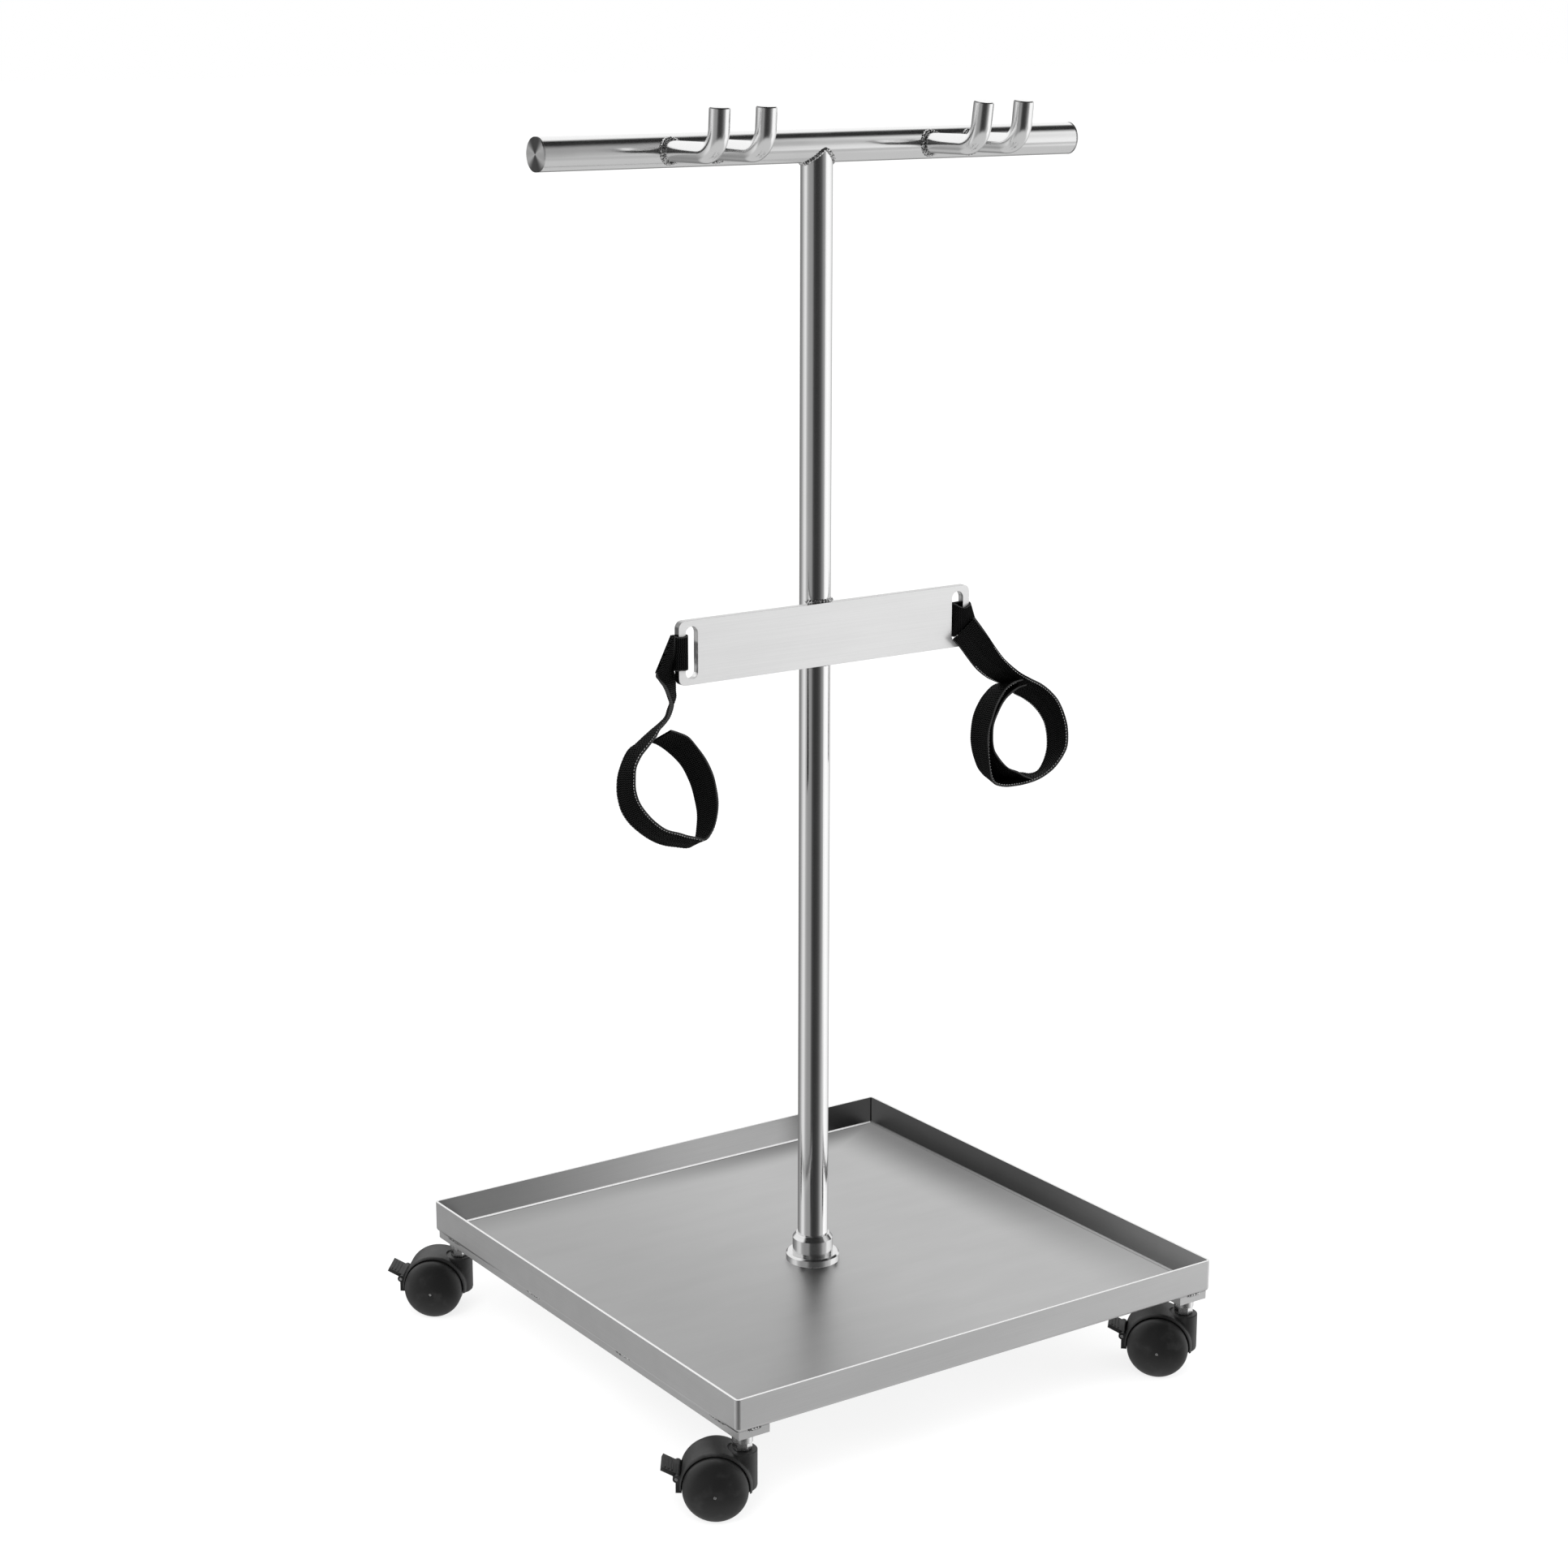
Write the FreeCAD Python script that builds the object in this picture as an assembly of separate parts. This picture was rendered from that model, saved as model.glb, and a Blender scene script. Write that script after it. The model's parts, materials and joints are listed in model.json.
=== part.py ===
import FreeCAD, Part
import math
import os

# Mobile drip stand: a square tray on four braked twin-wheel castors carries a
# tubular post with a T-bar, four bag hooks and a slotted plate with two straps.
# Millimetres.  The origin lies on the floor under the post's axis.  +X runs
# along the T-bar, -Y is the side the hooks point to and +Z is up.

# ---- driving dimensions -----------------------------------------------------

# tray
TRAY_SIDE = 470.0
TRAY_BOTTOM_Z = 70.7
TRAY_RIM_Z = 97.7
TRAY_SHEET = 2.0
TRAY_BEND_RADIUS = 3.5

# flat bars under the left and right edges of the tray
RAIL_WIDTH = 28.0
RAIL_THICKNESS = 6.5
RAIL_SIDE_INSET = 3.0
RAIL_END_INSET = 2.0

# post and the joint at its foot
POST_RADIUS = 12.7
TUBE_WALL = 1.5
COLLAR_FLANGE_RADIUS = 22.5
COLLAR_FLANGE_HEIGHT = 6.8
COLLAR_FLANGE_CHAMFER = 1.5
COLLAR_BODY_RADIUS = 17.0
COLLAR_BODY_HEIGHT = 12.8
COLLAR_TOP_RADIUS = 14.0
COLLAR_TOP_HEIGHT = 4.0
PLUG_HEIGHT = 20.0
PLUG_BORE_RUNOUT = 2.0
FOOT_BOLT_RADIUS = 4.0
FOOT_BOLT_REACH = 15.0
FOOT_BOLT_HEAD_AF = 13.0
FOOT_BOLT_HEAD_HEIGHT = 5.3
FOOT_WASHER_RADIUS = 12.0
FOOT_WASHER_THICKNESS = 1.6

# T-bar and its end caps
T_BAR_LENGTH = 506.0
T_BAR_RADIUS = 13.0
T_BAR_AXIS_Z = 998.0
CAP_DISC_THICKNESS = 1.5
CAP_SPIGOT_LENGTH = 10.0

# bag hooks: name, place along the T-bar, lean of the upright away from the bar
HOOKS = (
    ("hook_left_outer", -142.0, 4.0),
    ("hook_left_inner", -100.5, 4.0),
    ("hook_right_inner", 103.0, 9.0),
    ("hook_right_outer", 142.5, 7.0),
)
HOOK_RADIUS = 8.0
HOOK_BEND_RADIUS = 19.0
HOOK_TIP_REACH = 78.0
HOOK_TIP_RISE = 33.5
HOOK_TIP_CHAMFER = 0.8

# strap plate
PLATE_LENGTH = 285.0
PLATE_HEIGHT = 51.2
PLATE_THICKNESS = 6.0
PLATE_CENTRE_Z = 613.8
PLATE_CORNER_RADIUS = 6.0
SLOT_WIDTH = 11.4
SLOT_HEIGHT = 42.0
SLOT_WEB = 6.3

# castors: name, side along X, side along Y, turn of the trail from -X towards +Y
CASTORS = (
    ("front_left", -1, -1, 35.0),
    ("front_right", 1, -1, 44.0),
    ("back_left", -1, 1, 40.0),
    ("back_right", 1, 1, 40.0),
)
CASTOR_INSET = 15.0
CASTOR_TRAIL = 19.8
WHEEL_RADIUS = 25.0
WHEEL_INNER_FACE = 9.3
WHEEL_TREAD_EDGE = 19.0
WHEEL_DOME_HEIGHT = 13.0
WHEEL_TREAD_CHAMFER = 0.6
WHEEL_HUB_RADIUS = 6.5
WHEEL_POCKET_RADIUS = 20.5
WHEEL_POCKET_END = 20.0
AXLE_RADIUS = 3.0
AXLE_HALF_LENGTH = 26.0
AXLE_NOSE_RADIUS = 1.1
AXLE_END_GAP = 0.3
RUNNING_CLEARANCE = 0.05
DOME_HOLE_RADIUS = 1.3

# castor housing
HOOD_OUTER_RADIUS = 27.7
HOOD_INNER_RADIUS = 25.9
HOOD_HALF_WIDTH = 17.5
HOOD_EDGE_RADIUS = 4.0
HOOD_BACK_DIP = 4.6
HOOD_STEM_DIP = 8.6
HOOD_OVERLAP = 2.5
BACK_WALL_REACH = 30.0
BACK_WALL_BOTTOM_RISE = -5.0
CORE_HALF_WIDTH = 8.8
CORE_BOTTOM_Z = 18.0
CORE_HUB_RADIUS = 9.0
BOSS_RADIUS = 11.4
BOSS_TOP_Z = 50.0
BOSS_BOTTOM_Z = 17.5
BOSS_BOTTOM_ROUND = 3.5
BOSS_TOP_CHAMFER = 0.6

# castor stem, weld nut and retaining ring
STEM_SHANK_RADIUS = 4.0
STEM_SHANK_END_Z = 18.6
STEM_HEX_AF = 13.0
STEM_HEX_BOTTOM_Z = 50.5
STEM_HEX_TOP_Z = 56.5
STEM_THREAD_RADIUS = 5.0
STEM_TOP_Z = 69.3
WELD_NUT_RADIUS = 8.0
RING_GROOVE_RADIUS = 3.2
RING_OUTER_RADIUS = 6.0
RING_THICKNESS = 1.0
RING_MOUTH = 4.0
RING_GAP = 0.2
RING_POCKET_RADIUS = 7.2
RING_POCKET_TOP_Z = 21.0

# brake lever, in the plane across the axle and measured from the axle
LEVER_PIVOT_BACK = 29.3
LEVER_PIVOT_RISE = 6.0
LEVER_HALF_WIDTH = 11.3
LEVER_HUB_RADIUS = 2.9
LEVER_PEDAL_LENGTH = 13.5
LEVER_PEDAL_THICKNESS = 3.0
LEVER_PEDAL_DROP = 0.3
LEVER_PEDAL_SLOPE = 26.0
LEVER_TRAVEL = 18.0
LEVER_CAM_RADIUS = 1.6
LEVER_CAM_OFFSET = 3.0
LEVER_RIB_HEIGHT = 0.6
LEVER_RIB_WIDTH = 0.9
LEVER_RIB_HALF_LENGTH = 9.0
LEVER_RIB_PLACES = (5.2, 8.0, 10.8)
LEVER_SIDE_GAP = 0.4
WINDOW_DEPTH = 24.2
WINDOW_BOTTOM_RISE = 1.6
WINDOW_TOP_RISE = 11.0
PIN_RADIUS = 1.25
PIN_PROUD = 0.4
LUG_THICKNESS = 2.8

# straps
STRAP_WIDTH = 27.0
STRAP_THICKNESS = 1.8
STRAP_SLEEVE_INNER_RADIUS = 5.0
STRAP_LEFT_SLEEVE_Z = 614.4
STRAP_RIGHT_SLEEVE_Z = 610.5
STRAP_SECTIONS = 44
# the left strap is folded over itself: ends of the crease, x and z
STRAP_CREASE_TOP = (-146.0, 629.0)
STRAP_CREASE_BOTTOM = (-166.0, 600.0)

# Each strap hangs along a smooth line: x, y, z and the turn of its width from X.
STRAP_LEFT_LINE = (
    (-156.0, -17.0, 633.0, 18.0),
    (-156.0, -17.0, 604.0, 22.0),
    (-151.0, -16.5, 588.0, 42.0),
    (-146.5, -16.0, 575.0, 57.0),
    (-150.5, -16.0, 565.0, 62.0),
    (-159.0, -16.0, 557.5, 70.0),
    (-170.5, -16.0, 549.0, 82.0),
    (-182.0, -16.0, 537.0, 90.0),
    (-189.0, -16.0, 521.0, 90.0),
    (-189.5, -16.0, 502.0, 90.0),
    (-182.0, -16.0, 483.0, 90.0),
    (-166.0, -16.0, 467.5, 90.0),
    (-143.0, -16.0, 461.0, 90.0),
    (-122.0, -16.0, 466.5, 92.0),
    (-113.5, -16.0, 484.0, 96.0),
    (-119.0, -16.0, 507.0, 106.0),
    (-129.0, -16.0, 528.0, 108.0),
    (-142.0, -16.0, 542.5, 98.0),
    (-160.0, -16.0, 547.5, 90.0),
)
STRAP_RIGHT_LINE = (
    (133.5, -22.3, 609.0, 0.0),
    (141.0, -22.3, 597.0, 0.0),
    (151.5, -20.5, 584.5, 2.0),
    (161.5, -19.0, 574.0, 8.0),
    (172.0, -17.5, 564.5, 22.0),
    (186.0, -16.0, 556.5, 55.0),
    (204.0, -16.0, 551.5, 84.0),
    (222.0, -16.0, 543.0, 90.0),
    (236.5, -16.0, 527.0, 90.0),
    (243.0, -16.0, 504.0, 88.0),
    (240.0, -16.0, 484.0, 80.0),
    (228.0, -16.0, 469.0, 78.0),
    (207.0, -16.0, 463.0, 84.0),
    (183.0, -16.0, 463.0, 90.0),
    (166.0, -16.0, 472.0, 92.0),
    (159.5, -16.0, 490.0, 92.0),
    (160.0, -16.0, 510.0, 90.0),
    (167.0, -16.0, 530.0, 90.0),
    (178.0, -16.0, 542.0, 90.0),
    (196.0, -16.0, 548.5, 86.0),
)

# ---- dimensions that follow -------------------------------------------------

TRAY_HALF = TRAY_SIDE / 2.0
TRAY_FLOOR_Z = TRAY_BOTTOM_Z + TRAY_SHEET
RAIL_BOTTOM_Z = TRAY_BOTTOM_Z - RAIL_THICKNESS
RAIL_LENGTH = TRAY_SIDE - 2.0 * RAIL_END_INSET
RAIL_CENTRE_X = TRAY_HALF - RAIL_SIDE_INSET - RAIL_WIDTH / 2.0
CASTOR_REACH = TRAY_HALF - CASTOR_INSET
POST_BORE_RADIUS = POST_RADIUS - TUBE_WALL
T_BAR_BORE_RADIUS = T_BAR_RADIUS - TUBE_WALL
T_BAR_TUBE_LENGTH = T_BAR_LENGTH - 2.0 * CAP_DISC_THICKNESS
PLATE_BACK_Y = -POST_RADIUS
PLATE_FRONT_Y = PLATE_BACK_Y - PLATE_THICKNESS
WEB_CENTRE_X = PLATE_LENGTH / 2.0 - SLOT_WEB / 2.0
WEB_CENTRE_Y = PLATE_BACK_Y - PLATE_THICKNESS / 2.0
SLOT_CENTRE_X = PLATE_LENGTH / 2.0 - SLOT_WEB - SLOT_WIDTH / 2.0
WHEEL_APEX = WHEEL_TREAD_EDGE + WHEEL_DOME_HEIGHT
LEVER_REACH = LEVER_PIVOT_BACK + LEVER_PEDAL_LENGTH
RING_TOP_Z = RING_POCKET_TOP_Z - RING_GAP
RING_BOTTOM_Z = RING_TOP_Z - RING_THICKNESS

X_AXIS = FreeCAD.Vector(1, 0, 0)
Y_AXIS = FreeCAD.Vector(0, 1, 0)
Z_AXIS = FreeCAD.Vector(0, 0, 1)
ORIGIN = FreeCAD.Vector(0, 0, 0)

# how far a cutter passes beyond what it cuts, and when two lengths count as one
CUT_THROUGH = 1.0
TOLERANCE = 0.001


# ---- general shapes ---------------------------------------------------------


def point(x, y, z):
    return FreeCAD.Vector(x, y, z)


def block(low, high):
    size = high - low
    return Part.makeBox(size.x, size.y, size.z, low)


def rod(radius, start, direction, length):
    return Part.makeCylinder(radius, length, start, direction)


def tube(outer_radius, inner_radius, start, direction, length):
    outer = rod(outer_radius, start, direction, length)
    return outer.cut(rod(inner_radius, start, direction, length))


def hexagon(across_flats, bottom_z, top_z, centre_x=0.0, centre_y=0.0):
    """Hexagonal bar standing along Z."""
    corner_radius = across_flats / 2.0 / math.cos(math.radians(30))
    corners = []
    for index in range(7):
        angle = math.radians(60.0 * index)
        corners.append(
            point(
                centre_x + corner_radius * math.cos(angle),
                centre_y + corner_radius * math.sin(angle),
                bottom_z,
            )
        )
    face = Part.Face(Part.makePolygon(corners))
    return face.extrude(point(0, 0, top_z - bottom_z))


def turned(outline):
    """Solid of revolution about Z from (radius, z) corners."""
    corners = [point(radius, 0, z) for radius, z in outline]
    corners.append(corners[0])
    return Part.Face(Part.makePolygon(corners)).revolve(ORIGIN, Z_AXIS, 360)


def rounded_box(half_side, bottom_z, top_z, corner_radius):
    """Square box with rounded upright and bottom edges and a sharp top."""
    box = block(
        point(-half_side, -half_side, bottom_z), point(half_side, half_side, top_z)
    )
    edges = []
    for edge in box.Edges:
        on_top = all(abs(vertex.Z - top_z) < TOLERANCE for vertex in edge.Vertexes)
        if not on_top:
            edges.append(edge)
    return box.makeFillet(corner_radius, edges)


def group(shapes):
    return Part.makeCompound(shapes)


# ---- tray and rails ---------------------------------------------------------


def make_tray():
    outside = rounded_box(TRAY_HALF, TRAY_BOTTOM_Z, TRAY_RIM_Z, TRAY_BEND_RADIUS)
    inside = rounded_box(
        TRAY_HALF - TRAY_SHEET,
        TRAY_FLOOR_Z,
        TRAY_RIM_Z + CUT_THROUGH,
        TRAY_BEND_RADIUS - TRAY_SHEET,
    )
    below = point(0, 0, TRAY_BOTTOM_Z - CUT_THROUGH)
    depth = TRAY_SHEET + 2.0 * CUT_THROUGH
    bolt_hole = rod(FOOT_BOLT_RADIUS, below, Z_AXIS, depth)
    return outside.cut(inside).cut(bolt_hole)


def make_rail(side):
    """Flat bar along Y, drilled for the two castor stems it carries."""
    centre_x = side * RAIL_CENTRE_X
    bar = block(
        point(centre_x - RAIL_WIDTH / 2, -RAIL_LENGTH / 2, RAIL_BOTTOM_Z),
        point(centre_x + RAIL_WIDTH / 2, RAIL_LENGTH / 2, TRAY_BOTTOM_Z),
    )
    for end in (-1, 1):
        start = point(side * CASTOR_REACH, end * CASTOR_REACH, RAIL_BOTTOM_Z)
        hole_depth = STEM_TOP_Z - RAIL_BOTTOM_Z
        bar = bar.cut(rod(STEM_THREAD_RADIUS, start, Z_AXIS, hole_depth))
    return bar


# ---- post -------------------------------------------------------------------


def make_post_collar():
    flange_top = TRAY_FLOOR_Z + COLLAR_FLANGE_HEIGHT
    body_top = flange_top + COLLAR_BODY_HEIGHT
    return turned(
        (
            (POST_RADIUS, TRAY_FLOOR_Z),
            (COLLAR_FLANGE_RADIUS, TRAY_FLOOR_Z),
            (COLLAR_FLANGE_RADIUS, flange_top - COLLAR_FLANGE_CHAMFER),
            (COLLAR_FLANGE_RADIUS - COLLAR_FLANGE_CHAMFER, flange_top),
            (COLLAR_BODY_RADIUS, flange_top),
            (COLLAR_BODY_RADIUS, body_top),
            (COLLAR_TOP_RADIUS, body_top + COLLAR_TOP_HEIGHT),
            (POST_RADIUS, body_top + COLLAR_TOP_HEIGHT),
        )
    )


def t_bar_envelope():
    """Solid cylinder of the T-bar's outside, used to cope what meets it."""
    start = point(-T_BAR_LENGTH / 2, 0, T_BAR_AXIS_Z)
    return rod(T_BAR_RADIUS, start, X_AXIS, T_BAR_LENGTH)


def make_post_tube():
    foot = point(0, 0, TRAY_FLOOR_Z)
    length = T_BAR_AXIS_Z - TRAY_FLOOR_Z
    pipe = tube(POST_RADIUS, POST_BORE_RADIUS, foot, Z_AXIS, length)
    return pipe.cut(t_bar_envelope())


def make_post_plug():
    foot = point(0, 0, TRAY_FLOOR_Z)
    plug = rod(POST_BORE_RADIUS, foot, Z_AXIS, PLUG_HEIGHT)
    bore_depth = FOOT_BOLT_REACH + PLUG_BORE_RUNOUT
    return plug.cut(rod(FOOT_BOLT_RADIUS, foot, Z_AXIS, bore_depth))


def make_post_bolt():
    head_top = TRAY_BOTTOM_Z - FOOT_WASHER_THICKNESS
    head_bottom = head_top - FOOT_BOLT_HEAD_HEIGHT
    head = hexagon(FOOT_BOLT_HEAD_AF, head_bottom, head_top)
    shank_length = TRAY_FLOOR_Z + FOOT_BOLT_REACH - head_top
    shank = rod(FOOT_BOLT_RADIUS, point(0, 0, head_top), Z_AXIS, shank_length)
    return head.fuse(shank).removeSplitter()


def make_post_washer():
    start = point(0, 0, TRAY_BOTTOM_Z - FOOT_WASHER_THICKNESS)
    return tube(
        FOOT_WASHER_RADIUS, FOOT_BOLT_RADIUS, start, Z_AXIS, FOOT_WASHER_THICKNESS
    )


# ---- T-bar ------------------------------------------------------------------


def make_t_bar():
    start = point(-T_BAR_TUBE_LENGTH / 2, 0, T_BAR_AXIS_Z)
    return tube(T_BAR_RADIUS, T_BAR_BORE_RADIUS, start, X_AXIS, T_BAR_TUBE_LENGTH)


def make_t_bar_cap(side):
    """Turned disc with a spigot that fills the end of the T-bar."""
    outward = X_AXIS * side
    shoulder = point(side * T_BAR_TUBE_LENGTH / 2, 0, T_BAR_AXIS_Z)
    disc = rod(T_BAR_RADIUS, shoulder, outward, CAP_DISC_THICKNESS)
    spigot = rod(T_BAR_BORE_RADIUS, shoulder, outward * -1, CAP_SPIGOT_LENGTH)
    return disc.fuse(spigot).removeSplitter()


def make_hook(place_x, lean):
    """Round bar that leaves the T-bar towards -Y and bends up."""
    bend = math.radians(90.0 - lean)
    rise_in_bend = HOOK_BEND_RADIUS * (1.0 - math.cos(bend))
    upright = (HOOK_TIP_RISE - rise_in_bend) / math.sin(bend)
    reach_in_bend = HOOK_BEND_RADIUS * math.sin(bend)
    bend_start_y = -HOOK_TIP_REACH + reach_in_bend + upright * math.cos(bend)

    def on_bend(angle):
        return point(
            place_x,
            bend_start_y - HOOK_BEND_RADIUS * math.sin(angle),
            T_BAR_AXIS_Z + HOOK_BEND_RADIUS * (1.0 - math.cos(angle)),
        )

    root = point(place_x, 0, T_BAR_AXIS_Z)
    tip = point(place_x, -HOOK_TIP_REACH, T_BAR_AXIS_Z + HOOK_TIP_RISE)
    path = Part.Wire(
        [
            Part.makeLine(root, on_bend(0)),
            Part.Arc(on_bend(0), on_bend(bend / 2), on_bend(bend)).toShape(),
            Part.makeLine(on_bend(bend), tip),
        ]
    )
    section = Part.Wire([Part.makeCircle(HOOK_RADIUS, root, Y_AXIS)])
    bar = Part.Solid(path.makePipeShell([section], True, False))
    tip_edges = []
    for edge in bar.Edges:
        if edge.CenterOfMass.distanceToPoint(tip) < HOOK_TIP_CHAMFER:
            tip_edges.append(edge)
    return bar.makeChamfer(HOOK_TIP_CHAMFER, tip_edges).cut(t_bar_envelope())


# ---- strap plate ------------------------------------------------------------


def upright_obround(centre_x, width, height):
    """Slot-shaped cutter through the plate, its long side along Z."""
    radius = width / 2.0
    half_straight = height / 2.0 - radius
    front = PLATE_FRONT_Y - CUT_THROUGH
    depth = PLATE_THICKNESS + 2.0 * CUT_THROUGH
    cutter = block(
        point(centre_x - radius, front, PLATE_CENTRE_Z - half_straight),
        point(centre_x + radius, front + depth, PLATE_CENTRE_Z + half_straight),
    )
    for end in (-1, 1):
        centre = point(centre_x, front, PLATE_CENTRE_Z + end * half_straight)
        cutter = cutter.fuse(rod(radius, centre, Y_AXIS, depth))
    return cutter


def make_strap_plate():
    half_length = PLATE_LENGTH / 2.0
    half_height = PLATE_HEIGHT / 2.0
    plate = block(
        point(-half_length, PLATE_FRONT_Y, PLATE_CENTRE_Z - half_height),
        point(half_length, PLATE_BACK_Y, PLATE_CENTRE_Z + half_height),
    )
    corner_edges = []
    for edge in plate.Edges:
        if edge.Length < PLATE_THICKNESS + TOLERANCE:
            corner_edges.append(edge)
    plate = plate.makeFillet(PLATE_CORNER_RADIUS, corner_edges)
    for side in (-1, 1):
        plate = plate.cut(
            upright_obround(side * SLOT_CENTRE_X, SLOT_WIDTH, SLOT_HEIGHT)
        )
    return plate


# ---- castors ----------------------------------------------------------------
# A castor is built in its own frame: the stem's axis is Z through the origin,
# the wheels trail towards +X and the axle lies along Y.


def across_axle(back, along, rise):
    """Point given from the middle of the axle: backwards, along it and up."""
    return point(CASTOR_TRAIL + back, along, WHEEL_RADIUS + rise)


def bore_along_axle(radius, back, rise):
    """Cutter right across the castor, parallel to the axle."""
    start = across_axle(back, -WHEEL_APEX, rise)
    return rod(radius, start, Y_AXIS, 2.0 * WHEEL_APEX)


def wheel_room(side):
    """Space a wheel turns in, beside the housing's core."""
    start = across_axle(0, side * CORE_HALF_WIDTH, 0)
    return rod(HOOD_INNER_RADIUS, start, Y_AXIS * side, WHEEL_APEX)


def hood():
    """Arch over both wheels, with rounded-over side edges."""
    inner = HOOD_INNER_RADIUS - HOOD_OVERLAP
    flat_half = HOOD_HALF_WIDTH - HOOD_EDGE_RADIUS
    round_root = HOOD_OUTER_RADIUS - HOOD_EDGE_RADIUS
    diagonal = HOOD_EDGE_RADIUS * math.sqrt(0.5)

    def corner(radius, along):
        return across_axle(radius, along, 0)

    def rounded(side):
        return Part.Arc(
            corner(HOOD_OUTER_RADIUS, side * flat_half),
            corner(round_root + diagonal, side * (flat_half + diagonal)),
            corner(round_root, side * HOOD_HALF_WIDTH),
        ).toShape()

    left_inner = corner(inner, -HOOD_HALF_WIDTH)
    right_inner = corner(inner, HOOD_HALF_WIDTH)
    outline = Part.Wire(
        [
            Part.makeLine(left_inner, right_inner),
            Part.makeLine(right_inner, corner(round_root, HOOD_HALF_WIDTH)),
            rounded(1),
            Part.makeLine(
                corner(HOOD_OUTER_RADIUS, flat_half),
                corner(HOOD_OUTER_RADIUS, -flat_half),
            ),
            rounded(-1),
            Part.makeLine(corner(round_root, -HOOD_HALF_WIDTH), left_inner),
        ]
    )
    profile = Part.Face(outline)
    axle_centre = across_axle(0, 0, 0)
    profile.rotate(axle_centre, Y_AXIS, HOOD_BACK_DIP)
    sweep = -(180.0 + HOOD_BACK_DIP + HOOD_STEM_DIP)
    return profile.revolve(axle_centre, Y_AXIS, sweep)


def back_wall():
    """Thick end of the hood below and beside the brake lever."""
    half_width = LEVER_HALF_WIDTH + LEVER_SIDE_GAP + LUG_THICKNESS
    inner = HOOD_INNER_RADIUS - HOOD_OVERLAP
    return block(
        across_axle(inner, -half_width, BACK_WALL_BOTTOM_RISE),
        across_axle(BACK_WALL_REACH, half_width, LEVER_PIVOT_RISE),
    )


def core():
    """Web between the wheels that carries the axle."""
    start = across_axle(0, -CORE_HALF_WIDTH, 0)
    width = 2.0 * CORE_HALF_WIDTH
    disc = rod(HOOD_OUTER_RADIUS - HOOD_OVERLAP, start, Y_AXIS, width)
    below = block(
        across_axle(-HOOD_OUTER_RADIUS, -CORE_HALF_WIDTH, -HOOD_OUTER_RADIUS),
        across_axle(HOOD_OUTER_RADIUS, CORE_HALF_WIDTH, CORE_BOTTOM_Z - WHEEL_RADIUS),
    )
    return disc.cut(below).fuse(rod(CORE_HUB_RADIUS, start, Y_AXIS, width))


def boss():
    """Upright sleeve that turns on the stem."""
    outline = [
        (0.0, BOSS_BOTTOM_Z),
        (BOSS_RADIUS - BOSS_BOTTOM_ROUND, BOSS_BOTTOM_Z),
    ]
    for step in range(1, 4):
        angle = math.radians(30.0 * step)
        outline.append(
            (
                BOSS_RADIUS - BOSS_BOTTOM_ROUND * (1.0 - math.sin(angle)),
                BOSS_BOTTOM_Z + BOSS_BOTTOM_ROUND * (1.0 - math.cos(angle)),
            )
        )
    outline += [
        (BOSS_RADIUS, BOSS_TOP_Z - BOSS_TOP_CHAMFER),
        (BOSS_RADIUS - BOSS_TOP_CHAMFER, BOSS_TOP_Z),
        (0.0, BOSS_TOP_Z),
    ]
    return turned(outline)


def lever_pivot(along):
    return across_axle(LEVER_PIVOT_BACK, along, LEVER_PIVOT_RISE)


def lug(side):
    """Ear beside the brake lever that holds one end of its pin."""
    inner_face = LEVER_HALF_WIDTH + LEVER_SIDE_GAP
    start = lever_pivot(side * inner_face)
    return rod(LEVER_HUB_RADIUS, start, Y_AXIS * side, LUG_THICKNESS)


def lever_window():
    """Opening in the hood for the lever's hub and cam."""
    half_width = LEVER_HALF_WIDTH + LEVER_SIDE_GAP
    return block(
        across_axle(WINDOW_DEPTH, -half_width, WINDOW_BOTTOM_RISE),
        across_axle(LEVER_REACH, half_width, WINDOW_TOP_RISE),
    )


def make_castor_housing():
    body = hood().fuse(back_wall()).fuse(boss()).fuse(core())
    above_boss = point(0, 0, BOSS_TOP_Z)
    body = body.cut(rod(BOSS_RADIUS, above_boss, Z_AXIS, STEM_TOP_Z - BOSS_TOP_Z))
    body = body.cut(lever_window())
    for side in (-1, 1):
        body = body.fuse(lug(side)).cut(wheel_room(side))
    stem_bore = rod(STEM_SHANK_RADIUS + RUNNING_CLEARANCE, ORIGIN, Z_AXIS, STEM_TOP_Z)
    ring_pocket = rod(RING_POCKET_RADIUS, ORIGIN, Z_AXIS, RING_POCKET_TOP_Z)
    axle_bore = bore_along_axle(AXLE_RADIUS, 0, 0)
    pin_bore = bore_along_axle(PIN_RADIUS, LEVER_PIVOT_BACK, LEVER_PIVOT_RISE)
    for cutter in (stem_bore, ring_pocket, axle_bore, pin_bore):
        body = body.cut(cutter)
    return body.removeSplitter()


def make_axle():
    start = across_axle(0, -AXLE_HALF_LENGTH, 0)
    shaft = rod(AXLE_RADIUS, start, Y_AXIS, 2.0 * AXLE_HALF_LENGTH)
    nose_start = across_axle(0, -WHEEL_APEX, 0)
    nose = rod(AXLE_NOSE_RADIUS, nose_start, Y_AXIS, 2.0 * WHEEL_APEX)
    return shaft.fuse(nose).removeSplitter()


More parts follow.
